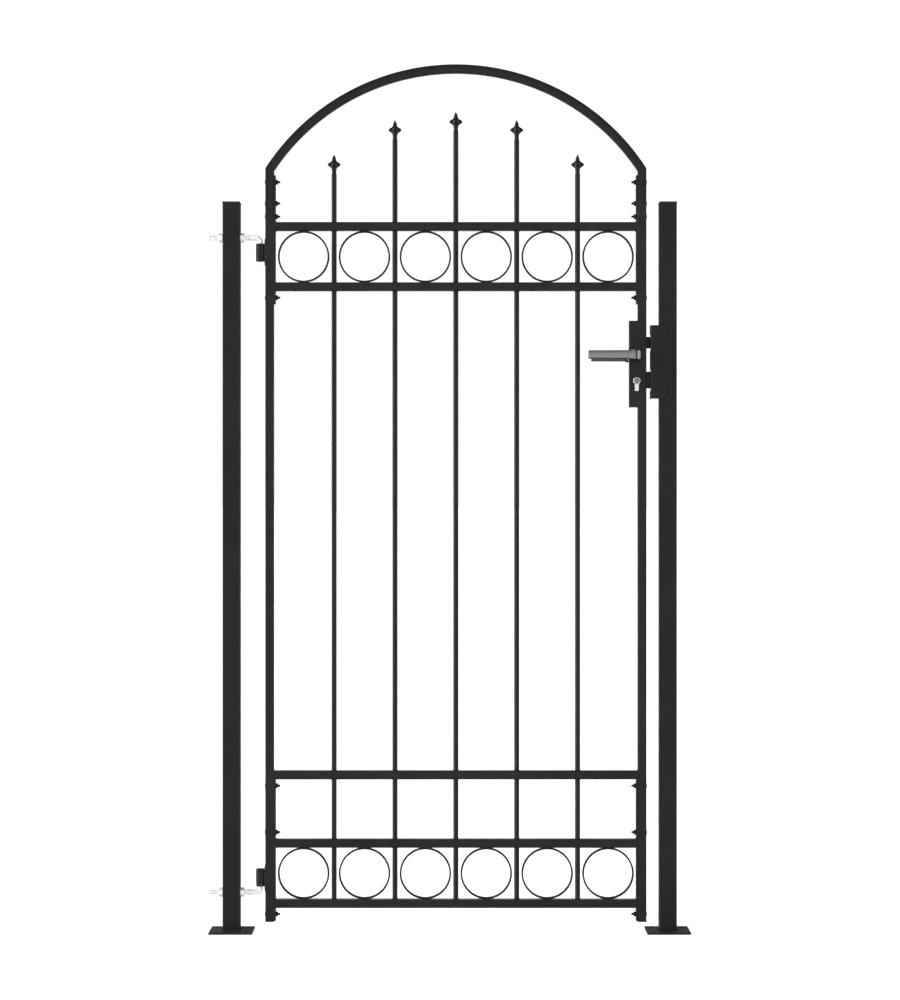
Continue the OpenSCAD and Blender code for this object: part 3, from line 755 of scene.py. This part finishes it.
def add_posts():
    """The posts with their base plates and caps, and a bead round each post's foot."""
    welds = Shape()
    for number, post in enumerate(("hinge_post", "latch_post")):
        soft_tube(post, CUT_EDGE, POST_CORNER, axis=2)
        soft_copy(f"{post}_base", PLATE_EDGE)
        centre = Vector((middle(post).x, 0, high(f"{post}_base").z + WELD_LIFT))
        half = post_half + WELD_LIFT
        outline = rounded_outline(half, half, POST_CORNER, CORNER_STEPS)
        path = [centre + Vector((a, b, 0)) for a, b in outline]
        bead(welds, path, POST_WELD_R, closed=True, seed=number)
    finish_welds("post_foot_welds", welds, "posts")
    soft_copy("post_caps", CAP_EDGE)


# ---- the leaf's frame

TUBE_CORNER = 2 * MM
STRIP_EDGE = 0.5 * MM
ARCH_STEPS = 96
RAIL_WELD_R = 1.3 * MM
BAR_WELD_R = 1.0 * MM


def shoulder_height():
    """Height of the arch's outer corners: the top of the arch's straight outer side."""
    return max(v.co.z for v in frame["nodes"]["arch"].data.vertices if abs(v.co.x - leaf_x0) < NEAR)


def add_arch():
    """The arch and its two legs: a rounded tube swept up, mitred, round the arc and down again."""
    foot_z, crown_z = low("arch").z, high("arch").z
    half = (leaf_x1 - leaf_x0) / 2
    mid_x = (leaf_x0 + leaf_x1) / 2
    rise = crown_z - shoulder_height()
    radius = (half * half + rise * rise) / (2 * rise)
    centre_z = crown_z - radius

    def outline(inset):
        """The tube's section, as distances from the arch's outer side and from the leaf's middle."""
        side = tube_half - inset
        return [(tube_half + a, b) for a, b in rounded_outline(side, side, TUBE_CORNER)]

    def leg(side, lift, inset):
        """A ring at the foot of a leg, raised by lift and drawn in by inset."""
        return [Vector((mid_x + side * (half - d), y, foot_z + lift)) for d, y in outline(inset)]

    def bow(share):
        """A ring of the arch, from the left mitre to the right one."""
        made = []
        for d, y in outline(0):
            angle = math.asin((half - d) / (radius - d)) * (2 * share - 1)
            out = radius - d
            made.append(Vector((mid_x + out * math.sin(angle), y, centre_z + out * math.cos(angle))))
        return made

    shape = Shape()
    rings = [leg(-1, 0, CUT_EDGE), leg(-1, CUT_EDGE, 0)]
    rings += [bow(i / ARCH_STEPS) for i in range(ARCH_STEPS + 1)]
    rings += [leg(1, CUT_EDGE, 0), leg(1, 0, CUT_EDGE)]
    shape.loft(rings)
    stand_in("arch_tube", shape, "arch", crease=25)


def add_frame():
    """The leaf's tubes, flat bars and plugs, with their welds."""
    add_arch()
    for stile in ("left_stile", "right_stile_upper", "right_stile_lower"):
        soft_tube(stile, CUT_EDGE, TUBE_CORNER, axis=2)
    for rail in rails:
        soft_tube(rail, CUT_EDGE, TUBE_CORNER, axis=0)
    for bar in flat_bars:
        soft_copy(bar, STRIP_EDGE)
    soft_copy("stile_plugs", STRIP_EDGE)
    add_frame_welds()


def add_frame_welds():
    """Beads across the ends of each rail, and where the lock case stands out from the stile."""
    welds = Shape()
    half_y = tube_half - TUBE_CORNER
    for rail in rails:
        for x, inward in ((low(rail).x, 1), (high(rail).x, -1)):
            for z in (low(rail).z, high(rail).z):
                bead_across(welds, x + inward * WELD_LIFT, z, half_y, RAIL_WELD_R, seed=x + 3 * z)
    for z in (low("lock_case").z, high("lock_case").z):
        bead_across(welds, low("right_stile_upper").x, z, half_y, RAIL_WELD_R, seed=z)
    finish_welds("frame_welds", welds)


# ---- bars, spear heads and rings

BAR_EDGE = 0.3 * MM


def add_bars():
    """The upright bars, and the beads where they pass through the rails."""
    welds = Shape()
    for number, bar in enumerate(bars):
        soft_copy(bar, BAR_EDGE, segments=1)
        # The bottom rail's lower face comes first, and the bar doesn't reach it
        faces = [side(rail).z for rail in rails for side in (low, high)]
        for z in faces[1:]:
            bead_round(welds, middle(bar).x, z, bar_r + WELD_LIFT, BAR_WELD_R, seed=number + 3 * z)
    finish_welds("bar_welds", welds)


# The outlines of a cast spear head, as (height, radius) in millimetres: its round core, and the reach
# of the four lobes of its crown
SPEAR_CORE = [
    (0, 5.95), (4, 5.3), (8, 5.1), (12.8, 5.9), (15, 6.1), (19, 8.0), (23.5, 9.3), (27, 8.6),
    (31, 6.1), (34, 5.1), (37, 4.7), (41.5, 3.2), (45.8, 1.0), (47.5, 0.2)
]
SPEAR_CROWN = [
    (14.5, 6.0), (17, 8.0), (20, 12.1), (22, 14.4), (24, 15.1),
    (26, 14.5), (28, 12.2), (30, 8.4), (32.5, 5.6)
]
SPEAR_LAYERS = 48
SPEAR_STEPS = 96
LOBE_SHARE = 0.34


def lobed(core, reach):
    """The crown's radius as a function of the angle: a round core with four blunt lobes."""
    half = LOBE_SHARE * reach
    middle_r = reach - half

    def radius(angle):
        turn = (angle + HALF_PI / 2) % HALF_PI - HALF_PI / 2
        # This direction leaves the lobe by its straight side, or else by its round end
        rise, run = abs(math.sin(turn)), math.cos(turn)
        lobe = half / max(rise, NEAR)
        if lobe * run > middle_r:
            lobe = middle_r * run + math.sqrt(max(0, half ** 2 - (middle_r * rise) ** 2))
        return max(core, lobe) * MM

    return radius


def spear_profile():
    """Profile points of a spear head, whose radii are functions of the angle."""
    spear_h = SPEAR_CORE[-1][0]
    crown_low, crown_high = SPEAR_CROWN[0][0], SPEAR_CROWN[-1][0]
    made = []
    for i in range(SPEAR_LAYERS + 1):
        height = spear_h * i / SPEAR_LAYERS
        reach = curve(SPEAR_CROWN, height) if crown_low < height < crown_high else 0
        made.append((lobed(curve(SPEAR_CORE, height), reach), height * MM))
    return made


def add_spears():
    """A spear head on each upright bar."""
    shape = Shape()
    for bar in bars:
        top = Vector((middle(bar).x, 0, high(bar).z))
        turned(shape, spear_profile(), top, count=SPEAR_STEPS)
    stand_in("spears", shape, "spear_heads", crease=50)


RING_EDGE = 0.5 * MM
RING_STEPS = 128
# Tacks that hold a ring to the rails: radius, distance from its middle, how far their ends stay in
RING_TACK_R = 1.1 * MM
RING_TACK_X = 4.5 * MM
RING_TACK_IN = 2 * MM


def bay_centres():
    """The middles of the six bays between the flat bars and the upright bars."""
    sides = [field_x0] + [side(bar).x for bar in bars for side in (low, high)] + [field_x1]
    return [(a + b) / 2 for a, b in zip(sides[::2], sides[1::2])]


def bore_radius(node):
    """The inner radius of the rings in a node."""
    centre = Vector((bay_centres()[0], 0, middle(node).z))
    places = (vert.co - centre for vert in frame["nodes"][node].data.vertices)
    return min(math.hypot(place.x, place.z) for place in places)


def add_rings():
    """The two rows of rings, bent from flat strip, each tacked to the rails above and below."""
    welds = Shape()
    for node in ("upper_rings", "lower_rings"):
        shape = Shape()
        box_low, box_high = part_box(node)
        radius = (box_high.z - box_low.z) / 2
        half_w = (box_high.y - box_low.y) / 2
        strip = radius - bore_radius(node)
        outline = rounded_outline(strip / 2, half_w, RING_EDGE, CORNER_STEPS)
        section = [(radius - strip / 2 + a, b) for a, b in outline]
        for x in bay_centres():
            centre = Vector((x, 0, (box_low.z + box_high.z) / 2))
            spin(shape, lambda angle: section, centre, axis=Y, side=X, count=RING_STEPS)
            for tack_x in (x - RING_TACK_X, x + RING_TACK_X):
                for z in (box_low.z, box_high.z):
                    bead_across(welds, tack_x, z, half_w - RING_TACK_IN, RING_TACK_R, seed=x + z)
        stand_in(f"{node}_strip", shape, node)
    finish_welds("ring_welds", welds)


# ---- stile bolts

M6_PITCH = 1.0 * MM
BOLT_R = 3 * MM
BOLT_THREAD = 14 * MM
BOLT_CHAMFER = 0.7 * MM
BOLT_STEPS = 24
HEAD_H = 1.8 * MM
HEAD_RIM = 0.1 * MM
STILE_NUT_GAP = 0.05 * MM
# A domed head's angles leave this much out at its middle and at its rim
DOME_END = 0.1


def bolt_places(node):
    """Each solid of a node of bolts or nuts: where it starts, its direction inward, and its size."""
    made = []
    for box_low, box_high in islands(node):
        left = (box_low.x + box_high.x) / 2 < gate_x
        start = Vector((box_low.x if left else box_high.x, 0, (box_low.z + box_high.z) / 2))
        made.append((start, X if left else -X, box_high - box_low))
    return made


def dome(radius, height, steps=5):
    """Profile points of a low domed head, from its middle out."""
    turns = [DOME_END + (HALF_PI - 2 * DOME_END) * i / (steps - 1) for i in range(steps)]
    return [(radius * math.sin(a), height * (1 - math.cos(a))) for a in turns]


def add_stile_bolts():
    """The bolts through the stiles and flat bars, domed outside and threaded inside, and their nuts."""
    bolts, nuts = Shape(), Shape()
    for start, inward, size in bolt_places("stile_bolts"):
        head_r = size.z / 2
        thread_start = size.x - BOLT_THREAD
        profile = dome(head_r, HEAD_H) + [(head_r, HEAD_H - HEAD_RIM), (head_r - HEAD_RIM, HEAD_H)]
        profile += [(BOLT_R, HEAD_H), (BOLT_R, thread_start - M6_PITCH / 2)]
        profile += thread_profile(BOLT_R, M6_PITCH, thread_start, size.x, BOLT_CHAMFER)
        turned(bolts, profile, start, inward, Z, BOLT_STEPS)
    for start, inward, size in bolt_places("stile_nuts"):
        hex_nut(nuts, start, inward, size.y, size.x, BOLT_R + STILE_NUT_GAP)
    stand_in("threaded_stile_bolts", bolts, "stile_bolts")
    stand_in("chamfered_stile_nuts", nuts, "stile_nuts", crease=20)


# ---- hinges

M12_PITCH = 1.25 * MM
BEND_R = 10 * MM
ROD_STEPS = 36
BEND_STEPS = 14
ROD_CHAMFER = 1.2 * MM
THREAD_PAST_NUT = 4 * MM
HINGE_NUT_GAP = 0.1 * MM
BARREL_EDGE = 1.2 * MM
HINGE_PLATE_EDGE = 0.3 * MM
# Hinge welds: their radii, how far aside they run, how deep they sit and how far their ends stay in
BARREL_WELD_R = 2.2 * MM
BARREL_WELD_Y = 3.8 * MM
BARREL_WELD_SINK = 0.6 * MM
PLATE_WELD_R = 1.4 * MM
PLATE_WELD_SINK = 0.3 * MM
HINGE_WELD_IN = 2 * MM


def add_hinge_rod(node, rod_z, pin_end):
    """A rod that is threaded through the post and bends into a plain pin."""
    rings = []

    def add(centre, along, radius):
        rings.append(ring_round(centre, Y, along.cross(Y), radius, ROD_STEPS))

    way = 1 if pin_end > rod_z else -1
    start = Vector((low(node).x, 0, rod_z))
    threaded = high("hinge_nuts").x + THREAD_PAST_NUT - start.x
    for radius, height in reversed(thread_profile(rod_r, M12_PITCH, threaded, 0, ROD_CHAMFER)):
        add(start + X * height, X, radius)
    add(start + X * (threaded + M12_PITCH), X, rod_r)
    corner = Vector((axis_x - BEND_R, 0, rod_z + way * BEND_R))
    for i in range(BEND_STEPS + 1):
        angle = HALF_PI * i / BEND_STEPS
        out = X * math.sin(angle) - Z * (way * math.cos(angle))
        add(corner + out * BEND_R, X * math.cos(angle) + Z * (way * math.sin(angle)), rod_r)
    for back, shrink in ((ROD_CHAMFER, 0), (0, ROD_CHAMFER)):
        add(Vector((axis_x, 0, pin_end - way * back)), Z * way, rod_r - shrink)
    shape = Shape()
    shape.loft(rings)
    stand_in(f"{node}_threaded", shape, node)


def add_hinges():
    """Both hinges: rods, nuts, barrels, plates and the lower one's collar."""
    add_hinge_rod("upper_hinge_rod", high("upper_hinge_rod").z - rod_r, low("upper_hinge_rod").z)
    add_hinge_rod("lower_hinge_rod", low("lower_hinge_rod").z + rod_r, high("lower_hinge_rod").z)
    nuts = Shape()
    for box_low, box_high in islands("hinge_nuts"):
        start = Vector((box_low.x, 0, (box_low.z + box_high.z) / 2))
        size = box_high - box_low
        hex_nut(nuts, start, X, size.y, size.x, rod_r + HINGE_NUT_GAP)
    stand_in("chamfered_hinge_nuts", nuts, "hinge_nuts", crease=20)
    for node in ("upper_hinge_barrel", "lower_hinge_barrel", "lower_hinge_collar"):
        soft_copy(node, BARREL_EDGE, segments=3)
    soft_copy("hinge_plates", HINGE_PLATE_EDGE)
    add_hinge_welds()


def add_hinge_welds():
    """Beads in the grooves between barrel and plate, and down the plate's edges on the stile."""
    welds = Shape()

    def upright_bead(x, y, box, radius, seed):
        """A bead up the height of a box."""
        bottom, top = box[0].z + HINGE_WELD_IN, box[1].z - HINGE_WELD_IN
        bead(welds, [Vector((x, y, bottom)), Vector((x, y, top))], radius, seed=seed)

    barrels = (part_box("lower_hinge_barrel"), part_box("upper_hinge_barrel"))
    groove_x = axis_x + barrel_r - BARREL_WELD_SINK
    edge_x = leaf_x0 - PLATE_WELD_SINK
    for number, (barrel, plate) in enumerate(zip(barrels, islands("hinge_plates"))):
        edge_y = plate[1].y - PLATE_WELD_SINK
        for side in (-1, 1):
            upright_bead(groove_x, side * BARREL_WELD_Y, barrel, BARREL_WELD_R, number + side)
            upright_bead(edge_x, side * edge_y, plate, PLATE_WELD_R, number - side)
    finish_welds("hinge_welds", welds)


# ---- lock case, bolts and keep

CASE_EDGE = 0.3 * MM
CASE_CORNER = 1.0 * MM
LOCK_BOLT_EDGE = 0.5 * MM
KEEP_EDGE = 0.5 * MM
KEEP_FOLD_R = 3 * MM
SOCKET_W = 3 * MM
SOCKET_DEPTH = 1.7 * MM
SOCKET_TOP = 0.1 * MM
# Where a screw's domed head starts, as a share of its socket's width
SOCKET_RIM = 0.62
SCREW_R = 2.5 * MM
SCREW_PLAIN = 4 * MM
SCREW_CHAMFER = 0.6 * MM
SCREW_STEPS = 36
M5_PITCH = 0.8 * MM


def add_lock():
    """The lock case with its rounded outer edges, and both bolts."""
    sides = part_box("lock_case")

    def on_side(end, other_end, a):
        """Whether both ends of an edge lie on the same side of the case's box along an axis."""
        return any(abs(end[a] - side[a]) < NEAR and abs(other_end[a] - side[a]) < NEAR for side in sides)

    def outer(end, other_end):
        """Whether an edge of the case lies on an edge of its box."""
        return sum(on_side(end, other_end, a) for a in range(3)) >= 2

    soft_copy("lock_case", CASE_EDGE, 2, CASE_CORNER, outer)
    for bolt in ("latch_bolt", "dead_bolt"):
        soft_copy(bolt, LOCK_BOLT_EDGE)


def add_keep():
    """The keep, folded from plate with a rounded fold, and its screws."""
    fold_x, fold_y = low("keep_bracket").x, low("keep_bracket").y

    def fold(end, other_end):
        return all(abs(p.x - fold_x) < NEAR and abs(p.y - fold_y) < NEAR for p in (end, other_end))

    soft_copy("keep_bracket", KEEP_EDGE, 2, KEEP_FOLD_R, fold)
    add_keep_screws()


def add_keep_screws():
    """Screws with a domed head and a hexagon socket; their thread starts behind the keep's plate."""
    shape = Shape()
    socket = polygon_radius(SOCKET_W, 6)
    head_h = low("keep_bracket").y - low("keep_screws").y
    for box_low, box_high in islands("keep_screws"):
        size = box_high - box_low
        start = box_low + Vector((size.x / 2, 0, size.z / 2))
        head_r = size.x / 2
        thread_start = head_h + SCREW_PLAIN
        profile = [(socket, SOCKET_DEPTH), (socket, SOCKET_TOP)]
        profile += [(r, h) for r, h in dome(head_r, head_h, 9) if r > SOCKET_RIM * SOCKET_W]
        profile += [(head_r, head_h), (SCREW_R, head_h)]
        profile += thread_profile(SCREW_R, M5_PITCH, thread_start, size.y, SCREW_CHAMFER)
        turned(shape, profile, start, Y, Z, SCREW_STEPS)
    stand_in("socket_head_keep_screws", shape, "keep_screws", crease=25)


# ---- key cylinder

CYLINDER_CHAMFER = 0.7 * MM
CYLINDER_LEG = 5 * MM
# The plugs: each stands proud of the cylinder's end and starts in its recess, short of the bottom
PLUG_R = 6.6 * MM
PLUG_GAP = 0.4 * MM
PLUG_PROUD = 0.5 * MM
PLUG_CHAMFER = 0.4 * MM
PLUG_STEPS = 72
RECESS_DEPTH = 9 * MM
PLUG_DEPTH = 8 * MM
# Half the width and half the height of the keyway
KEYWAY = (1.3 * MM, 4.4 * MM)
KEYWAY_DEPTH = 7 * MM


def cylinder_outline(round_r, height, inset):
    """A profile cylinder's outline (x, z) about the middle of its round part: a round over a leg."""
    waist = math.degrees(math.acos(CYLINDER_LEG / round_r))
    foot = round_r - height + CYLINDER_LEG
    head = arc((0, 0), round_r - inset, -waist, 180 + waist, 40)
    return head + arc((0, foot), CYLINDER_LEG - inset, 180, 360, 16)


def add_key_cylinder():
    """The cylinder's body with a recess at both ends, and in each a darker plug with a keyway; the plugs'
    dark nickel is painted shade.
    """
    box_low, box_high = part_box("key_cylinder")
    round_r = (box_high.x - box_low.x) / 2
    centre = Vector((lock_x, 0, box_high.z - round_r))
    face = box_high.y - PLUG_PROUD

    def outline(y, inset):
        """The outline at a place along the cylinder, drawn in by inset."""
        points = cylinder_outline(round_r, box_high.z - box_low.z, inset)
        return [centre + Vector((a, y, b)) for a, b in points]

    def recess(y):
        """A circle round the plug, with its points at the same angles as the outline's."""
        made = []
        for point in outline(y, 0):
            out = (point - centre) * Vector((1, 0, 1))
            made.append(centre + out.normalized() * (PLUG_R + PLUG_GAP) + Y * y)
        return made

    shape = Shape()
    shape.loft([
        recess(RECESS_DEPTH - face), recess(-face), outline(-face, CYLINDER_CHAMFER),
        outline(CYLINDER_CHAMFER - face, 0), outline(face - CYLINDER_CHAMFER, 0),
        outline(face, CYLINDER_CHAMFER), recess(face), recess(face - RECESS_DEPTH)
    ])

    def keyway(angle):
        """The keyway's sides as a radius, by the angle from upright."""
        half_w, half_h = KEYWAY
        return min(half_w / max(abs(math.sin(angle)), NEAR), half_h / max(abs(math.cos(angle)), NEAR))

    plugs = Shape()
    for side in (-1, 1):
        profile = [
            (keyway, face - KEYWAY_DEPTH), (keyway, box_high.y), (PLUG_R - PLUG_CHAMFER, box_high.y),
            (PLUG_R, box_high.y - PLUG_CHAMFER), (PLUG_R, face - PLUG_DEPTH)
        ]
        turned(plugs, profile, centre, Y * side, Z, PLUG_STEPS)
    stand_in("key_cylinder_body", shape, "key_cylinder", crease=30)
    piece = finish_piece("key_plugs", plugs.mesh("key_plugs"), slot_of["key_cylinder"], "leaf", crease=30)
    # The plugs get the darker nickel, which paints shade onto the cylinder's ends
    piece.data.materials[0] = painted_shade_nickel


# ---- levers

LEVER_BEND_R = 16 * MM
LEVER_FILLET_R = 8 * MM
BLADE_T = 9 * MM
BLADE_ROOT_H = 20.6 * MM
BLADE_TIP_H = 19.5 * MM
BLADE_CORNER = 2.2 * MM
HUB_START = 15 * MM
HUB_END = 21 * MM
HUB_CORNER = 3.5 * MM
TIP_STEPS = 6
NECK_CHAMFER = 0.6 * MM
# Where the neck stops being straight, as a share of the way out to the bend's centre
NECK_STRAIGHT = 0.75
# The corner radius at the bend's start, as a share of the neck's radius
NECK_CORNER = 0.6
# The hollow in the blade's inner side; its ends and its edges slope over HOLLOW_SLOPE
HOLLOW_RIM = 3.2 * MM
HOLLOW_DEPTH = 3.0 * MM
HOLLOW_START = 27 * MM
HOLLOW_SLOPE = 1 * MM
BLADE_START = HOLLOW_START - 3 * MM
# How much of the tip's pinch comes off its corner radius
PINCHED_CORNER = 0.9
LEVER_STEPS = 10


def add_lever(node):
    """A cast lever: a round neck that bends and flattens into a blade with a hollow inner side.

    Its stations are ((a, b) of the outer side, (a, b) of the inner side, half height, corner, hollow),
    with a measured along X from the spindle's axis and b away from the leaf's middle.
    """
    box_low, box_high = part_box(node)
    side = -1 if box_low.y < 0 else 1
    reach = max(abs(box_low.y), abs(box_high.y))
    start = min(abs(box_low.y), abs(box_high.y))
    neck_r = box_high.x - lock_x
    hub_half = (box_high.z - box_low.z) / 2
    tip = box_low.x - lock_x
    bend = (neck_r - LEVER_BEND_R, reach - LEVER_BEND_R)
    fillet = (-neck_r - LEVER_FILLET_R, reach - BLADE_T - LEVER_FILLET_R)

    def past_hub(a):
        """How far the step from hub to blade has come at a distance along it."""
        return smooth((-a - HUB_START) / (HUB_END - HUB_START))

    def blade_half(a):
        """Half the height of the hub or the blade at a distance along it."""
        plain = mixed(BLADE_ROOT_H, BLADE_TIP_H, a / tip) / 2
        return mixed(hub_half, plain, past_hub(a))

    stations = []

    def add_blade(a, hollow=0.0, drop=0.0, pinch=0.0):
        """A station square across the blade: drop comes off its half height, pinch off each side."""
        outer, inner = (a, reach - pinch), (a, reach - BLADE_T + pinch)
        corner = BLADE_CORNER - PINCHED_CORNER * pinch
        stations.append((outer, inner, blade_half(a) - drop, corner, hollow))

    neck_end = mixed(start, bend[1], NECK_STRAIGHT)
    for b, inset in ((start, NECK_CHAMFER), (start + NECK_CHAMFER, 0), (neck_end, 0)):
        r = neck_r - inset
        stations.append(((r, b), (-r, b), r, r, 0))
    outer_bend = arc(bend, LEVER_BEND_R, 0, 90, LEVER_STEPS)
    inner_bend = arc(fillet, LEVER_FILLET_R, 0, 90, LEVER_STEPS)
    for i, (outer, inner) in enumerate(zip(outer_bend, inner_bend)):
        corner = mixed(NECK_CORNER * neck_r, HUB_CORNER, smooth(i / LEVER_STEPS))
        stations.append((outer, inner, hub_half, corner, 0))
    bend_end, fillet_end = outer_bend[-1][0], inner_bend[-1][0]
    for i in range(1, LEVER_STEPS + 1):
        share = i / LEVER_STEPS
        outer_a = mixed(bend_end, -BLADE_START, share)
        inner_a = mixed(fillet_end, -BLADE_START, share)
        corner = mixed(HUB_CORNER, BLADE_CORNER, past_hub(outer_a))
        stations.append(((outer_a, reach), (inner_a, reach - BLADE_T), blade_half(outer_a), corner, 0))
    hollow_end = tip + HOLLOW_RIM
    add_blade(-HOLLOW_START)
    add_blade(-HOLLOW_START - HOLLOW_SLOPE, HOLLOW_DEPTH)
    add_blade(hollow_end + HOLLOW_SLOPE, HOLLOW_DEPTH)
    add_blade(hollow_end)
    for i in range(1, TIP_STEPS + 1):
        turn = HALF_PI * i / TIP_STEPS
        drop = HOLLOW_RIM * (1 - math.cos(turn))
        pinch = drop * BLADE_CORNER / HOLLOW_RIM
        add_blade(tip + HOLLOW_RIM * (1 - math.sin(turn)), 0.0, drop, pinch)

    shape = Shape()
    shape.loft([lever_ring(station, side) for station in stations])
    stand_in(f"{node}_cast", shape, node, crease=28)


def lever_ring(station, side):
    """One ring of a lever, in the gate's frame."""
    outer, inner, half, corner, hollow = station
    outer = Vector((lock_x + outer[0], side * outer[1], lever_z))
    inner = Vector((lock_x + inner[0], side * inner[1], lever_z))
    out = (outer - inner).normalized()
    half_t = (outer - inner).length / 2
    corner = min(corner, half_t, half)
    outline = rounded_outline(half_t, half, corner)
    rim = max(half - HOLLOW_RIM, 0)
    flat = max(rim - HOLLOW_SLOPE, 0)
    notch = [(-half_t, rim), (-half_t + hollow, flat), (-half_t + hollow, -flat), (-half_t, -rim)]
    half_way = len(outline) // 2
    outline = outline[:half_way] + notch + outline[half_way:]
    centre = (outer + inner) / 2
    return [centre + out * a + Z * b for a, b in outline]


# ---- build

add_camera()
add_floor()
add_world()
add_overhead_light()
add_posts()
add_frame()
add_bars()
add_spears()
add_rings()
add_stile_bolts()
add_hinges()
add_lock()
add_keep()
add_key_cylinder()
for lever in ("front_lever", "rear_lever"):
    add_lever(lever)
for node_name, node_object in frame["nodes"].items():
    node_object.data.materials.clear()
    node_object.data.materials.append(FINISHES[slot_of[node_name]])

bpy.context.scene.view_settings.view_transform = "Standard"
